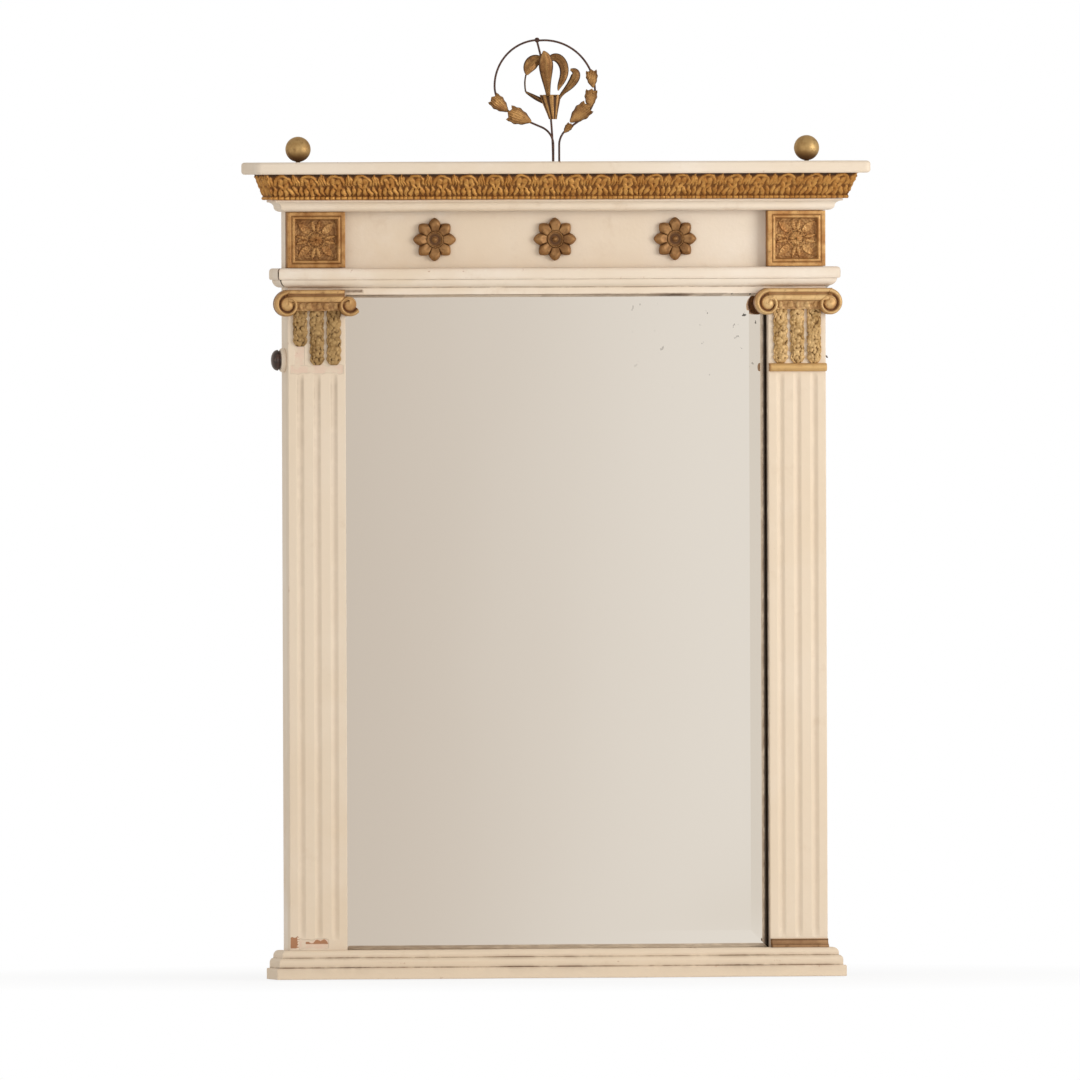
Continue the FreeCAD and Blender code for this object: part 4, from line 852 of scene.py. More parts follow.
def square_panel(low, high):
    """Rings from the middle out to a square edge, then back to the board.

    The border is a flat, a thin groove and a rounded fillet; inside it the ground is sunk. Four pointed
    petals reach for the corners: across each, the height dips in the middle and rises to the rims.
    Between them stand four leaves, each split into two lobes by a gap that opens outwards. All of them
    surround a thin ring and a boss, and are worn by two crossing ripples.
    """
    turn = np.linspace(0.0, 2 * math.pi, 320, endpoint=False)[None, :]
    share = np.linspace(0.01, 1.0, 110)[:, None]
    half = (high.x - low.x) / 2
    tall = (high.z - low.z) / 2
    square = 1.0 / np.maximum(np.abs(np.cos(turn)), np.abs(np.sin(turn)))
    blend = np.clip((share - 0.35) / 0.25, 0.0, 1.0)
    reach = share * ((1.0 - blend) + blend * square) * half
    inset = half * (1.0 - share * ((1.0 - blend) / square + blend))
    flat = np.clip(np.minimum(inset + 0.0004, border_flat - inset) / 0.0012, 0.0, 1.0) ** 0.5
    fillet = np.sqrt(np.clip(1.0 - ((inset - 0.0086) / 0.0022) ** 2, 0.0, 1.0))
    sunk_share = 1.0 / (1.0 + np.exp((border_width - inset) / 0.0003))
    to_corner = turn % (math.pi / 2) - math.pi / 4
    to_side = (turn + math.pi / 4) % (math.pi / 2) - math.pi / 4
    along = np.clip((reach * np.cos(to_corner) - 0.0130) / 0.0205, 0.0, 1.0)
    width = 0.0052 * np.sin(math.pi * along ** 0.75) ** 0.75 + 0.0002
    aside = np.abs(reach * np.sin(to_corner)) / width
    dipped = 0.38 + 0.50 * np.clip(aside, 0.0, 1.0) ** 2
    wide_petal = np.clip((1.0 - aside) / 0.22, 0.0, 1.0) ** 0.5 * dipped
    out_along = np.clip((reach * np.cos(to_side) - 0.0120) / 0.0150, 0.0, 1.0)
    lobe = np.abs(np.abs(reach * np.sin(to_side)) - 0.0022 - 0.0030 * out_along)
    lobe_width = 0.0028 * np.sin(math.pi * out_along ** 0.8) ** 0.6 + 0.0001
    small_leaf = 0.80 * np.sqrt(np.clip(1.0 - (lobe / lobe_width) ** 2, 0.0, 1.0))
    ring = 0.42 * np.exp(-(((reach - 0.0118) / 0.0012) ** 2))
    boss = 0.88 * np.sqrt(np.clip(1.0 - (reach / 0.0092) ** 2, 0.0, 1.0))
    boss = boss - 0.10 * np.cos(7 * turn) * (reach > 0.004)
    worn = np.sin(640 * reach + 3 * turn) * np.sin(7 * turn - 210 * reach)
    worn = worn + np.sin(1500 * reach) * np.sin(19 * turn)
    carved = highest(wide_petal, small_leaf, ring, boss, 0.14) + 0.13 * worn
    frame_lift = 0.0012 * flat + 0.0016 * fillet
    out = frame_lift * (1.0 - sunk_share) + sunk_share * (corner_carving * carved - panel_sink)
    x = (low.x + high.x) / 2 + reach * np.cos(turn)
    z = (low.z + high.z) / 2 + reach * np.sin(turn) * tall / half
    shown = np.stack([x, face - out + 0.0012, z], axis=-1)
    behind = np.stack([x[-1], np.full_like(x[-1], high.y), z[-1]], axis=-1)[None]
    points = np.concatenate([shown, behind], axis=0)
    lift = np.where(inset > border_width, carved, np.maximum(0.62 * flat, 0.95 * fillet))
    last = np.zeros((1, lift.shape[1]))
    hollow = np.concatenate([np.clip(0.55 - 0.75 * lift, 0.0, 0.5), last + 0.5], axis=0)
    # The fillet and raised carving are marked as edge by height: a painted highlight.
    bright = np.concatenate([np.clip(lift - 0.80, 0.0, 0.3) * 3.0, last], axis=0)
    return points, bright, hollow


for word, finish in (("left", block_gilding), ("right", lit_block_gilding)):
    name = word + "_corner_block"
    skin(name, [square_panel(*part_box(name))], finish, [name], sharp=55.0)


# Rosettes: three round flowers cast in composition, bronzed rather than gilded, and pinned to the frieze.
# Eight rounded petals with slightly pointed tips stand round a raised ring and a small boss.
dull_bronze = gilding(
    "dull_bronze", (0.205, 0.094, 0.031, 1), (0.38, 0.205, 0.080, 1), (0.085, 0.034, 0.011, 1), 0.4, 2.2
)


def rosette(low, high):
    """Rings from the middle out to a scalloped edge, then back to the board.

    Each petal is a dome across, rises outwards to three quarters of its length and rounds over to its
    tip, with a cut between petals. A ring, a groove and a boss fill the middle.
    """
    turn = np.linspace(0.0, 2 * math.pi, 320, endpoint=False)[None, :]
    share = np.linspace(0.012, 1.0, 80)[:, None]
    radius = (high.x - low.x) / 2
    petal = (turn * 8 / (2 * math.pi) + 0.5) % 1.0 - 0.5
    scallop = 0.75 + 0.25 * (1.0 - np.abs(2 * petal) ** 1.35)
    reach = share * radius * scallop
    dome = 0.45 + 0.55 * np.sqrt(np.clip(1.0 - 0.96 * (2 * petal) ** 2, 0.0, 1.0))
    climb = np.clip((share - 0.30) / 0.44, 0.0, 1.0) ** 0.8
    fall = np.sqrt(np.clip(1.0 - (np.clip(share - 0.74, 0.0, 1.0) / 0.262) ** 2, 0.0, 1.0))
    gap = np.exp(-(((np.abs(petal) - 0.5) / 0.05) ** 2)) * np.clip((share - 0.45) / 0.4, 0.0, 1.0)
    leaf = 0.0022 + 0.0068 * dome * (0.25 + 0.75 * climb) * fall * (1.0 - 0.5 * gap)
    beads = 0.5 + 0.5 * np.cos(16 * turn)
    ring = (0.0066 + 0.0008 * beads) * np.exp(-(((reach - 0.0102) / 0.0022) ** 2))
    boss = 0.0080 * np.sqrt(np.clip(1.0 - (reach / 0.0046) ** 2, 0.0, 1.0))
    out = highest(ring, boss, 0.0040, leaf * (reach > 0.0118))
    x = (low.x + high.x) / 2 + reach * np.cos(turn)
    z = (low.z + high.z) / 2 + reach * np.sin(turn)
    shown = np.stack([x, high.y - 0.0006 - out, z], axis=-1)
    behind = np.stack([x[-1], np.full_like(x[-1], high.y + 0.0004), z[-1]], axis=-1)[None]
    points = np.concatenate([shown, behind], axis=0)
    petals = (reach > 0.0118) * dome * (0.30 + 0.62 * climb) * (1.0 - gap)
    lift = highest(ring / 0.0078, boss / 0.0086, petals)
    last = np.zeros((1, lift.shape[1]))
    hollow = np.concatenate([np.clip(0.62 - 0.85 * lift, 0.0, 0.6), last + 0.6], axis=0)
    # Raised petals, ring and boss are marked as edge by height: a painted highlight.
    bright = np.concatenate([np.clip(lift - 0.66, 0.0, 0.4) * 2.4, last], axis=0)
    return points, bright, hollow


for word in ("left", "middle", "right"):
    name = word + "_rosette"
    skin(name, [rosette(*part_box(name))], dull_bronze, [name], sharp=55.0)


# Bed mould of the cornice: a painted ogee under a flat fillet, mitred round three sides.
bed_height = 0.0156
bed_foot = (0.0015, 0.0)
bed_waist = (0.0105, 0.0060)
bed_head = (0.020, 0.0128)
bed_steps = (
    [(0.0, 0.0, 0.0003), (*bed_foot, 0.0005)]
    + quarter_curve(bed_foot, bed_waist, True)
    + [(*bed_waist, 0.0)]
    + quarter_curve(bed_waist, bed_head, False)
    + [(*bed_head, 0.0006), (bed_head[0], bed_height, 0.0007), (0.0, bed_height, 0.0003)]
)
run_moulding(
    "bed_mould",
    moulding_line(bed_steps),
    moulding_line(bed_steps),
    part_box("bed_mould_front")[0].z,
    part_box("bed_mould_left_return")[1].y,
    aged_cream,
)


# Leaf moulding: pressed composition on a leaning pine core, gilded, pinned under the top board.
# Arches over split shells alternate with upright darts, and fans of leaves spread below both.
leaf_foot_out = 0.0260
leaf_head_out = 0.0377
leaf_bead_height = 0.0050
leaf_height = 0.0344
leaf_pitch = 0.0363
leaf_relief_depth = 0.0034

leaf_gilding = gilding(
    "leaf_gilding", (0.400, 0.170, 0.036, 1), (0.62, 0.330, 0.092, 1), (0.150, 0.054, 0.010, 1), 0.5, 3.0
)


def leaf_relief(along, up):
    """Height of the ornament from 0 to 1 at a place counted in pitches along and shares up.

    The highest of closely packed forms: an arch that is a ring above its middle, two round shells and two
    slanting blades inside it, a dart of three leaves between arches, and five oval leaves below with drilled
    holes between them. Slow ripples push every form a little out of true and fast ones roughen it.
    """
    bent = along + 0.020 * np.sin(11.0 * up + 2.1 * along) + 0.012 * np.sin(23.0 * up - 7.3 * along)
    side = bent - np.floor(bent) - 0.5
    rise = 0.84 * up + 0.016 * np.sin(5.1 * along) + 0.010 * np.sin(17.0 * along)
    away = np.abs(side)

    def oval(aside, height, wide, tall, lean=0.0):
        """A dome on a leaning oval."""
        tilted = away - aside - lean * (rise - height)
        return np.sqrt(np.clip(1.0 - (tilted / wide) ** 2 - ((rise - height) / tall) ** 2, 0.0, 1.0))

    ring = np.hypot(side, rise - 0.46)
    arch = 0.82 * np.exp(-(((ring - 0.305) / 0.062) ** 2)) * np.clip((rise - 0.34) / 0.10, 0.0, 1.0)
    shells = 0.76 * oval(0.100, 0.545, 0.115, 0.150, 0.20)
    blades = 0.86 * oval(0.085, 0.355, 0.085, 0.170, 0.50)
    dart = highest(oval(0.5, 0.60, 0.050, 0.27), 0.86 * oval(0.415, 0.56, 0.048, 0.22, 0.12))
    leaves = highest(0.78 * oval(0.0, 0.14, 0.095, 0.16), 0.90 * oval(0.205, 0.16, 0.095, 0.18, -0.40))
    leaves = highest(leaves, 0.80 * oval(0.400, 0.19, 0.085, 0.20, -0.25))
    holes = highest(
        oval(0.105, 0.25, 0.030, 0.045),
        oval(0.315, 0.30, 0.032, 0.05),
        oval(0.5, 0.25, 0.035, 0.06),
        oval(0.105, 0.02, 0.030, 0.05),
        oval(0.31, 0.02, 0.030, 0.05),
        oval(0.5, 0.04, 0.040, 0.06),
    )
    rough = np.sin(61 * along + 43 * rise) * np.sin(77 * rise - 49 * along)
    rough = rough + np.sin(127 * along) * np.sin(103 * rise)
    return np.clip(highest(arch, shells, blades, dart, leaves, 0.16) + 0.12 * rough - 0.7 * holes, 0.0, 1.0)


def leaf_section(along):
    """Section at each place along: a roll of leaf tips, then the leaning face moved out by the relief."""
    up = np.linspace(0.0, 1.0, 42)[None, :]
    relief = leaf_relief(along, up)
    bead_turn = np.linspace(-math.pi / 2, math.pi / 2, 9)[None, :]
    bead_swell = np.clip(leaf_relief(along, np.full((1, 1), 0.13)) * 1.15, 0.2, 1.0)
    bead_out = leaf_foot_out - 0.001 + 0.0026 * np.cos(bead_turn) * bead_swell
    bead_up = leaf_bead_height * (0.5 + 0.46 * np.sin(bead_turn)) + 0.0 * along
    lean = np.array([leaf_head_out - leaf_foot_out, leaf_height - leaf_bead_height])
    square = np.array([lean[1], -lean[0]]) / np.hypot(*lean)
    moved = leaf_relief_depth * (relief - 0.62) * np.clip(np.minimum(up, 1.0 - up) / 0.03, 0.0, 1.0)
    face_out = leaf_foot_out + lean[0] * up ** 1.1 + square[0] * moved
    face_up = leaf_bead_height + lean[1] * up + square[1] * moved
    face_up = np.clip(face_up, leaf_bead_height, leaf_height)
    nothing = np.zeros_like(along)
    out = np.concatenate([nothing, bead_out, face_out, nothing], axis=1)
    rise = np.concatenate([nothing, bead_up, face_up, nothing + leaf_height], axis=1)
    bead_sunk = np.broadcast_to(np.clip(0.80 - bead_swell, 0.0, 0.7), bead_up.shape)
    shadow = 0.5 * (relief < 0.36) * np.clip((up - 0.80) / 0.08, 0.0, 1.0)
    sunk = np.clip(0.78 - 1.05 * relief, 0.0, 0.6) + shadow
    hollow = np.concatenate([nothing, bead_sunk, sunk, nothing], axis=1)
    # The highest relief is marked as edge: a painted highlight on the darts and leaves.
    tips = np.clip(relief - 0.72, 0.0, 0.3) * 2.4
    bright = np.concatenate([nothing, 0.0 * bead_sunk, tips, nothing], axis=1)
    return out, rise, bright, hollow


leaf_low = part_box("leaf_mould_front")[0]
front_places = np.linspace(-1.0, 1.0, 1001)[:, None]
middle_reach = half_width + (leaf_foot_out + leaf_head_out) / 2
out, rise, bright, hollow = leaf_section(front_places * middle_reach / leaf_pitch)
leaf_points = np.stack([front_places * (half_width + out), face - out, leaf_low.z + rise], axis=-1)
front_leaves = (leaf_points, bright, hollow)
skin("leaf_mould_front", [front_leaves], leaf_gilding, ["leaf_mould_front"], sharp=70.0)
for side, word in ((-1, "left"), (1, "right")):
    return_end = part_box("leaf_mould_left_return")[1].y
    places = np.linspace(0.0, 1.0, 110)[:, None]
    out, rise, bright, hollow = leaf_section((places * 0.075 + 0.012) / leaf_pitch)
    y = (1 - places) * (face - out) + places * return_end
    leaf_points = np.stack([side * (half_width + out), y, leaf_low.z + rise], axis=-1)
    name = "leaf_mould_" + word + "_return"
    skin(name, [(leaf_points, bright, hollow)], leaf_gilding, [name], sharp=70.0)


# Top board: a thick painted shelf with soft edges that covers the mouldings and carries the crown.
top_low, top_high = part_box("top_board")
nosing = 0.0042
plan_corner = 0.007


def shelf(low, high):
    """Loops of a rectangle with rounded front corners, stacked from the underside to the top.

    Each loop is drawn in from the front and sides by a quarter circle near the two faces.
    """
    bend = np.linspace(0.0, math.pi / 2, 8)
    draw_in = nosing * np.r_[1.6, 1.0 - np.sin(bend), (1.0 - np.sin(bend))[::-1], 1.6]
    rise_foot = nosing * (1.0 - np.cos(bend))
    thick = high.z - low.z
    rise = np.r_[0.0, rise_foot, thick - rise_foot[::-1], thick][:, None]
    draw_in = draw_in[:, None]
    bow = np.linspace(0.0, math.pi / 2, 9)
    side_run = np.linspace(0.0, 1.0, 16)[:-1]
    front_run = np.linspace(-1.0, 1.0, 240)[1:-1]
    reach = high.x - draw_in
    depth = low.y + draw_in
    round_x = reach - plan_corner + plan_corner * np.sin(bow)[None, :]
    round_y = depth + plan_corner - plan_corner * np.cos(bow)[None, :]
    back_y = depth + plan_corner + (high.y - depth - plan_corner) * side_run[1:][None, :]
    right_x = np.repeat(reach, back_y.shape[1] + 1, 1)
    right_y = np.concatenate([back_y, np.full_like(reach, high.y)], axis=1)
    front_x = front_run * (reach - plan_corner)
    front_y = np.repeat(depth, 238, 1)
    x = np.concatenate([front_x, round_x, right_x, -right_x, -round_x[:, ::-1]], axis=1)
    y = np.concatenate([front_y, round_y, right_y, right_y[:, ::-1], round_y[:, ::-1]], axis=1)
    soft = np.clip(1.0 - draw_in / nosing, 0.0, 1.0) * np.clip(draw_in / nosing, 0.0, 1.0) * 4.0
    y = y + 0.0012 * soft * nicks(x, 7.0) * (y < high.y - 0.02)
    z = low.z + rise + 0.0002 * sway(x, 1.0) * (rise > thick / 2) - 0.0002 * (rise > thick / 2)
    return np.stack([x, y, z + 0.0 * x], axis=-1), np.clip(soft, 0.0, 1.0) + 0.0 * x, 0.0 * x


skin("top_board", [shelf(top_low, top_high)], aged_cream, ["top_board"])


# Ball finials: turned balls, gilded and rubbed, that stand on dowels let into the top board.
# Their lower halves are darkened as painted shade.


def turned(line, centre, axis, stations=72, uneven=0.0):
    """Surface of turning: each point of a line of radius and height goes once round the axis."""
    line = np.array(line)
    turn = np.linspace(0.0, 2 * math.pi, stations, endpoint=False)[None, :]
    wave = np.sin(2 * turn + 40 * line[:, 1:]) * np.sin(5 * turn - 90 * line[:, 1:])
    radius = line[:, :1] * (1.0 + uneven * wave)
    height = line[:, 1:] + 0.0 * turn
    first, second = radius * np.cos(turn), radius * np.sin(turn)
    if axis == "Z":
        return np.stack([centre[0] + first, centre[1] + second, centre[2] + height], axis=-1)
    return np.stack([centre[0] + height, centre[1] + first, centre[2] + second], axis=-1)


ball_radius = 0.017
ball_gilding = gilding(
    "ball_gilding", (0.36, 0.215, 0.080, 1), (0.58, 0.40, 0.175, 1), (0.135, 0.066, 0.022, 1), 0.7
)
ball_turn = np.linspace(-1.38, math.pi / 2 - 0.04, 44)
for word in ("left", "right"):
    name = word + "_ball"
    ball_low, ball_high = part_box(name)
    middle = ((ball_low.x + ball_high.x) / 2, (ball_low.y + ball_high.y) / 2, 0.0)
    ball_middle = ball_high.z - ball_radius - 0.0012
    ball_line = [(0.0030, ball_low.z), (0.0030, top_high.z)]
    ball_line += [
        (ball_radius * math.cos(a), ball_middle + ball_radius * math.sin(a)) for a in ball_turn
    ]
    points = turned(ball_line, middle, "Z", uneven=0.006)
    # Darker towards the foot of the ball: painted shade on its underside, kept in the hollow mark.
    sunk = np.clip(0.9 - (np.array(ball_line)[:, 1:] - top_high.z) / 0.019, 0.0, 0.8)
    skin(name, [(points, 0.0 * sunk, sunk)], ball_gilding, [name])


# Finial of bent iron wire: a stem and two wires that close into a hoop, tied at the top.
# The wires stand in holes in the top board; rust has turned them a dark red brown.
wire_rust, tree, shader, place = open_finish("wire_rust")
scale_rust = cloud(tree, place, 300.0, 5.0, 0.65)
rust = mixed(tree, between(tree, scale_rust, 0.35, 0.7), (0.050, 0.024, 0.018, 1), (0.135, 0.062, 0.040, 1))
tree.links.new(rust, shader.inputs["Base Color"])
shader.inputs["Metallic"].default_value = 0.35
shader.inputs["Roughness"].default_value = 0.62
bumped(tree, shader, scale_rust, 0.5, 0.0008)
dress(wire_rust, "finial_stem", "finial_left_wire", "finial_right_wire", "finial_knot")


# Lily and leaves of the finial: cut from thin gilt sheet, hammered hollow and curled by hand.
# The flower's ribbed cup is soldered to the stem, the leaves to the two wires.
loop_radius = 0.070
finial_place = 0.0045
sheet_thickness = 0.0014
lily_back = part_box("finial_flower")[1].y
leaf_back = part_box("finial_left_leaves")[1].y
petal_lines = {
    "tall": [
        (-0.15, 1.20, 0.03),
        (-0.184, 1.517, 0.082),
        (-0.211, 1.787, 0.136),
        (-0.235, 2.0, 0.11),
        (-0.27, 2.125, 0.01),
    ],
    "left": [(-0.24, 1.94, 0.03), (-0.40, 1.94, 0.115), (-0.53, 1.83, 0.122), (-0.585, 1.66, 0.02)],
    "right": [
        (-0.12, 1.97, 0.05),
        (0.062, 1.965, 0.09),
        (0.15, 1.79, 0.088),
        (0.108, 1.57, 0.068),
        (0.02, 1.36, 0.01),
    ],
    "far": [
        (0.02, 1.14, 0.03),
        (0.164, 1.345, 0.045),
        (0.33, 1.54, 0.088),
        (0.375, 1.69, 0.082),
        (0.27, 1.76, 0.02),
    ],
    "sepal": [(-0.16, 1.12, 0.045), (-0.43, 1.24, 0.042), (-0.60, 1.335, 0.018)],
    "thread": [(-0.585, 1.67, 0.014), (-0.612, 1.49, 0.014), (-0.598, 1.335, 0.014)],
}
petal_curls = {"tall": 0.010, "left": 0.007, "right": 0.008, "far": 0.005, "sepal": 0.003, "thread": 0.002}
petal_tones = {"tall": 0.0, "left": 0.0, "right": 0.10, "far": 0.16, "sepal": 0.35, "thread": 0.45}
leaf_places = {
    "left": [(-0.494, 0.76, 158.0, 0.49), (-0.949, 0.959, 140.0, 0.42)],
    "right": [
        (0.150, 0.545, 54.0, 0.21),
        (0.267, 0.751, 41.0, 0.47),
        (0.651, 1.017, 85.0, 0.36),
        (0.721, 1.413, 98.0, 0.34),
    ],
}
sheet_gilding = gilding(
    "sheet_gilding",
    (0.225, 0.102, 0.034, 1),
    (0.47, 0.265, 0.096, 1),
    (0.062, 0.025, 0.008, 1),
    0.6, 2.4, 0.18,
)


def thin_sheet(front, lift):
    """Closes a grid of front points with the same grid moved back by the sheet's thickness.

    Each loop goes across the front and returns across the back. Points that are lifted are bright, as a
    painted highlight, and the lowest, mostly at the edges, are dark, as painted shade.
    """
    behind = front[:, ::-1] + np.array([0.0, sheet_thickness, 0.0])
    points = np.concatenate([front, behind], axis=1)
    both = np.concatenate([lift, lift[:, ::-1]], axis=1)
    return points, np.clip(both - 0.55, 0.0, 0.4) * 2.2, np.clip(0.75 - 1.4 * both, 0.0, 1.0)


def petal(line, curl, tone):
    """A petal along a smooth middle line through its given points, with its half width at each.

    It is cupped across, raised along the middle vein, and curls forward towards its end. Its tone is how
    much darker than the first it has gone.
    """
    line = np.array(line)
    steps = np.r_[0.0, np.cumsum(np.hypot(*np.diff(line[:, :2], axis=0).T))]
    steps = steps / steps[-1]
    share = np.linspace(0.0, 1.0, 44)
    x, z, half = (np.polyval(np.polyfit(steps, column, len(line) - 1), share) for column in line.T)
    half = np.maximum(half, 0.008) * loop_radius
    heading = np.stack([np.gradient(x), np.gradient(z)], axis=-1)
    heading = heading / np.linalg.norm(heading, axis=1)[:, None]
    across = np.linspace(-1.0, 1.0, 15)[None, :]
    vein = np.exp(-((across / 0.16) ** 2))
    pleats = np.cos(3.0 * math.pi * across)
    lift = 0.12 + 0.58 * (1.0 - np.abs(across) ** 1.4) + 0.30 * vein + 0.10 * pleats
    middle_x = finial_place + x[:, None] * loop_radius
    middle_z = top_high.z + z[:, None] * loop_radius
    px = middle_x - heading[:, 1:] * across * half[:, None]
    pz = middle_z + heading[:, :1] * across * half[:, None]
    bulge = 0.0045 * np.sin(math.pi * share[:, None]) ** 0.7 * (lift - 0.12)
    py = lily_back - sheet_thickness - bulge - curl * np.sin(math.pi * 0.5 * share[:, None]) ** 2
    return thin_sheet(np.stack([px, py, pz], axis=-1), lift - tone + 0.0 * px)


def lily_cup():
    """The flower's cup: rings that widen upwards, flattened front to back and fluted into eight ribs."""
    share = np.linspace(0.0, 1.0, 26)[:, None]
    turn = np.linspace(0.0, 2 * math.pi, 64, endpoint=False)[None, :]
    ribs = 0.5 + 0.5 * np.cos(8 * turn)
    radius = 0.0056 + 0.0092 * share ** 1.15
    reach = radius * (0.86 + 0.14 * ribs)
    x = finial_place - 0.075 * loop_radius + reach * np.sin(turn) - 0.0035 * share
    y = lily_back - 0.0052 - 0.55 * reach * np.cos(turn)
    scallop = 0.0035 * ribs * share ** 6
    z = top_high.z + 0.81 * loop_radius + 0.0295 * share + scallop + 0.0 * turn
    y = np.minimum(y, lily_back)
    # The ribs are marked as edge, a painted highlight, and the grooves between them dark.
    return np.stack([x, y, z], axis=-1), 0.45 * ribs + 0.0 * z, np.clip(0.85 - ribs, 0.0, 1.0) + 0.0 * z


def lobed_leaf(place):
    """A leaf that widens from its foot and ends in three points.

    Its length varies across: long in the middle and at both sides, short between. Seven veins fan out.
    """
    x_share, z_share, angle, length_share = place
    share = np.linspace(0.0, 1.0, 34)[:, None]
    across = np.linspace(-1.0, 1.0, 25)[None, :]
    length = np.interp(np.abs(across), [0.0, 0.42, 0.92, 1.0], [1.06, 0.92, 1.0, 0.88])
    half = 0.02 + 0.33 * np.sin(0.62 * math.pi * share) ** 0.8
    size = length_share * loop_radius
    turn = math.radians(angle)
    along = share * length * size
    aside = across * half * size * (1.0 - 0.10 * np.sin(9.0 * share) ** 2 * np.abs(across))
    px = finial_place + x_share * loop_radius + along * math.cos(turn) - aside * math.sin(turn)
    pz = top_high.z + z_share * loop_radius + along * math.sin(turn) + aside * math.cos(turn)
    veins = 0.5 + 0.5 * np.cos(3.5 * 2 * math.pi * across)
    lift = 0.06 + 0.45 * (1.0 - np.abs(across) ** 1.6) + 0.34 * veins * share
    py = leaf_back - sheet_thickness - 0.0042 * lift * np.sin(math.pi * 0.55 * share) - 0.0025 * share ** 2
    return thin_sheet(np.stack([px, py, pz], axis=-1), lift + 0.0 * px)


lily = [petal(petal_lines[key], petal_curls[key], petal_tones[key]) for key in petal_lines] + [lily_cup()]
skin("finial_flower", lily, sheet_gilding, ["finial_flower"], sharp=60.0)
for word, places in leaf_places.items():
    name = "finial_" + word + "_leaves"
    skin(name, [lobed_leaf(place) for place in places], sheet_gilding, [name], sharp=60.0)


# Side knob of dark turned wood on a painted collar, let into the left side; a bent nail marks the
# place of its lost fellow on the right.
dark_wood, tree, shader, place = open_finish("dark_wood")
streak = cloud(tree, drawn_out(tree, place, (0.2, 1.0, 1.0)), 330.0, 5.0)
dark_streak = between(tree, streak, 0.35, 0.7)
knob_colour = mixed(tree, dark_streak, (0.020, 0.009, 0.006, 1), (0.070, 0.026, 0.014, 1))
tree.links.new(knob_colour, shader.inputs["Base Color"])
shader.inputs["Roughness"].default_value = 0.32
bumped(tree, shader, streak, 0.2, 0.0004)

knob_low, knob_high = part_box("side_knob")
collar_low, collar_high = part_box("knob_collar")
knob_middle = (0.0, (collar_low.y + collar_high.y) / 2, (collar_low.z + collar_high.z) / 2)
knob_radius = 0.014
knob_rise = collar_low.x - knob_low.x
knob_turn = np.linspace(0.0, math.pi / 2 - 0.03, 24)
knob_line = [(0.004, knob_high.x), (0.004, collar_low.x), (0.0122, collar_low.x)]
knob_line += [(0.0128, collar_low.x - 0.0008), (0.0124, collar_low.x - 0.0018)]
knob_line += [(0.0131, collar_low.x - 0.0024)]
knob_line += [
    (knob_radius * math.cos(a) ** 0.85, collar_low.x - 0.003 - (knob_rise - 0.003) * math.sin(a))
    for a in knob_turn
]
skin("side_knob", [(turned(knob_line, knob_middle, "X"), 0.0, 0.0)], dark_wood, ["side_knob"])

collar_radius = (collar_high.z - collar_low.z) / 2
collar_line = [
    (0.0043, collar_high.x),
    (collar_radius - 0.0006, collar_high.x),
    (collar_radius, collar_high.x - 0.0006),
    (collar_radius, collar_low.x + 0.0022),
    (collar_radius - 0.0006, collar_low.x + 0.0012),
    (collar_radius - 0.0018, collar_low.x + 0.0003),
    (0.0120, collar_low.x),
    (0.0043, collar_low.x),
]
collar_sunk = np.array([0.0, 0.6, 0.0, 0.0, 0.0, 0.0, 0.5, 0.9])[:, None]
collar_turned = (turned(collar_line, knob_middle, "X"), 0.0, collar_sunk)
skin("knob_collar", [collar_turned], aged_cream, ["knob_collar"])

old_iron, tree, shader, place = open_finish("old_iron")
pits = cloud(tree, place, 420.0, 5.0, 0.6)
iron_colour = mixed(tree, between(tree, pits, 0.35, 0.7), (0.060, 0.045, 0.038, 1), (0.175, 0.085, 0.048, 1))
tree.links.new(iron_colour, shader.inputs["Base Color"])
shader.inputs["Metallic"].default_value = 0.6
shader.inputs["Roughness"].default_value = 0.6
bumped(tree, shader, pits, 0.4, 0.0004)
dress(old_iron, "side_pin", "backboard_nails", "hanger_screws")


# Hangers: two brass straps with rolled knuckles, screwed to the stiles' backs, each with a D ring
# that swings up to its wall hook.
dull_brass, tree, shader, place = open_finish("dull_brass")
smoke = cloud(tree, place, 90.0, 6.0, 0.62)
brass_colour = mixed(tree, between(tree, smoke, 0.35, 0.72), (0.48, 0.33, 0.115, 1), (0.19, 0.115, 0.045, 1))
tree.links.new(brass_colour, shader.inputs["Base Color"])
brass_rough = node(tree, "MapRange", {"Value": smoke, "To Min": 0.24, "To Max": 0.56}).outputs["Result"]
tree.links.new(brass_rough, shader.inputs["Roughness"])
shader.inputs["Metallic"].default_value = 1.0
bumped(tree, shader, smoke, 0.15, 0.0004)
dress(dull_brass, "left_hanger_strap", "right_hanger_strap", "left_hanger_ring", "right_hanger_ring")


# Studio: a pale floor that keeps the object's shadow, a white surround, a broad lamp at the front right,
# a weaker one at the front left and a faint one at the left side.
# Shiny things see a warm grey room, a little darker to the right.
floor_size = 60.0
room_colour = (0.785, 0.735, 0.672, 1)
room_shade = (0.700, 0.640, 0.565, 1)
shade_start = 0.205
shade_full = 0.275


def either(tree, first, second):
    """The greater of two values."""
    return node(tree, "Math", {0: first, 1: second}, operation="MAXIMUM").outputs["Value"]


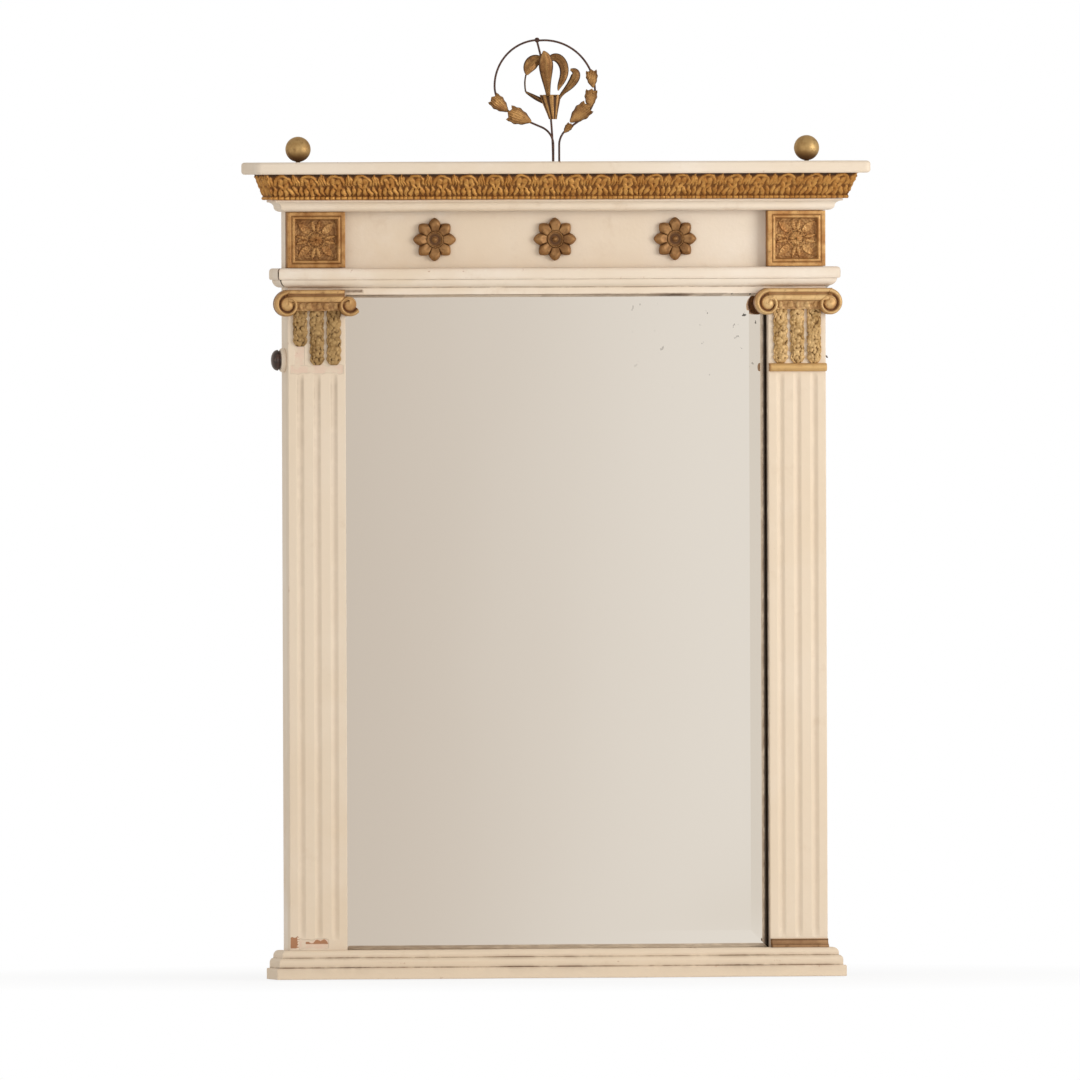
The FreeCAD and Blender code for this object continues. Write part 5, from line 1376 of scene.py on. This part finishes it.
floor_mesh = bpy.data.meshes.new("floor")
floor_corners = floor_size * np.array([[-1, -1, 0], [1, -1, 0], [1, 1, 0], [-1, 1, 0]])
floor_corners = floor_corners + np.array([0, 0, -0.001])
floor_mesh.from_pydata(floor_corners.tolist(), [], [(0, 1, 2, 3)])
floor = bpy.data.objects.new("floor", floor_mesh)
bpy.context.scene.collection.objects.link(floor)
floor_finish, tree, shader, place = open_finish("floor_white")
shader.inputs["Base Color"].default_value = (0.86, 0.86, 0.86, 1)
shader.inputs["Roughness"].default_value = 0.9
path = node(tree, "LightPath")
seen = either(tree, path.outputs["Is Camera Ray"], path.outputs["Is Glossy Ray"])
far = node(tree, "VectorMath", {"Vector": place}, operation="LENGTH").outputs["Value"]
paling = {"Value": far, "From Min": 0.3, "From Max": 1.1, "To Min": 0.82, "To Max": 1.0}
share = times(tree, node(tree, "MapRange", paling).outputs["Result"], seen)
share = either(tree, share, path.outputs["Is Glossy Ray"])
aside = node(tree, "SeparateXYZ", {"Vector": place}).outputs["X"]
heading = node(tree, "Math", {0: aside, 1: far}, operation="DIVIDE").outputs["Value"]
far_right = times(tree, between(tree, heading, shade_start, shade_full), between(tree, far, 2.0, 6.0))
mirrored = mixed(tree, far_right, room_colour, room_shade)
shown_colour = mixed(tree, path.outputs["Is Glossy Ray"], (1, 1, 1, 1), mirrored)
white = node(tree, "Emission", {"Color": shown_colour, "Strength": 1.0})
floor_mix = node(tree, "MixShader", {0: share, 1: shader.outputs["BSDF"], 2: white.outputs["Emission"]})
tree.links.new(floor_mix.outputs["Shader"], tree.nodes["Material Output"].inputs["Surface"])
floor_mesh.materials.append(floor_finish)

world = bpy.data.worlds.new("surround")
world.use_nodes = True
bpy.context.scene.world = world
tree = world.node_tree
path = node(tree, "LightPath")
heading = node(tree, "SeparateXYZ", {"Vector": node(tree, "TexCoord").outputs["Generated"]})
turned_right = between(tree, heading.outputs["X"], shade_start, shade_full)
mirrored = mixed(tree, turned_right, room_colour, room_shade)
seen_white = mixed(tree, path.outputs["Is Glossy Ray"], (1, 1, 1, 1), mirrored)
seen = either(tree, path.outputs["Is Camera Ray"], path.outputs["Is Glossy Ray"])
seen = either(tree, seen, path.outputs["Is Transmission Ray"])
soft_light = node(tree, "Background", {"Color": (1.0, 0.985, 0.97, 1), "Strength": 0.57})
backdrop = node(tree, "Background", {"Color": seen_white, "Strength": 1.0})
whole = node(
    tree,
    "MixShader",
    {0: seen, 1: soft_light.outputs["Background"], 2: backdrop.outputs["Background"]},
)
tree.links.new(whole.outputs["Shader"], tree.nodes["World Output"].inputs["Surface"])


def lamp(name, place, target, size, power, colour):
    """A square soft lamp at a place, turned to a target."""
    light = bpy.data.lights.new(name, "AREA")
    light.size = size
    light.energy = power
    light.color = colour
    holder = bpy.data.objects.new(name, light)
    holder.location = place
    holder.rotation_euler = (Vector(target) - Vector(place)).to_track_quat("-Z", "Y").to_euler()
    bpy.context.scene.collection.objects.link(holder)


lamp("key_lamp", (2.45, -2.1, 1.25), (0.1, 0.0, 0.62), 1.5, 52.0, (1.0, 0.98, 0.95))
lamp("fill_lamp", (-2.4, -3.7, 0.95), (0.0, 0.0, 0.6), 2.2, 26.0, (1.0, 0.98, 0.96))
lamp("side_lamp", (-3.3, -0.45, 1.0), (-0.4, 0.0, 0.7), 1.2, 7.0, (1.0, 0.97, 0.95))

# Camera far off to the left of the middle and a little above it, with a long lens.
camera_distance = 60.0
camera_side = math.radians(11.42)
camera_rise = math.radians(0.5)
camera_yaw = math.radians(11.397)
camera_pitch = math.radians(-0.462)
camera_roll = math.radians(-0.2)
aim = Vector((0.0, -0.054, 0.549))
camera_offset = Vector(
    (
        -math.sin(camera_side) * math.cos(camera_rise),
        -math.cos(camera_side) * math.cos(camera_rise),
        math.sin(camera_rise),
    )
)
forward = Vector(
    (
        math.sin(camera_yaw) * math.cos(camera_pitch),
        math.cos(camera_yaw) * math.cos(camera_pitch),
        math.sin(camera_pitch),
    )
)
level = Vector((math.cos(camera_yaw), -math.sin(camera_yaw), 0.0))
above = level.cross(forward)
rolled = math.cos(camera_roll) * level + math.sin(camera_roll) * above
upright = rolled.cross(forward)
view = bpy.data.cameras.new("photo_view")
view.lens = 1487.0
view.sensor_width = 36.0
view.clip_end = 200.0
camera = bpy.data.objects.new("photo_view", view)
camera.matrix_world = Matrix.Translation(aim + camera_distance * camera_offset) @ Matrix(
    (rolled, upright, -forward)
).transposed().to_4x4()
bpy.context.scene.collection.objects.link(camera)
bpy.context.scene.camera = camera
bpy.context.scene.view_settings.view_transform = "Standard"
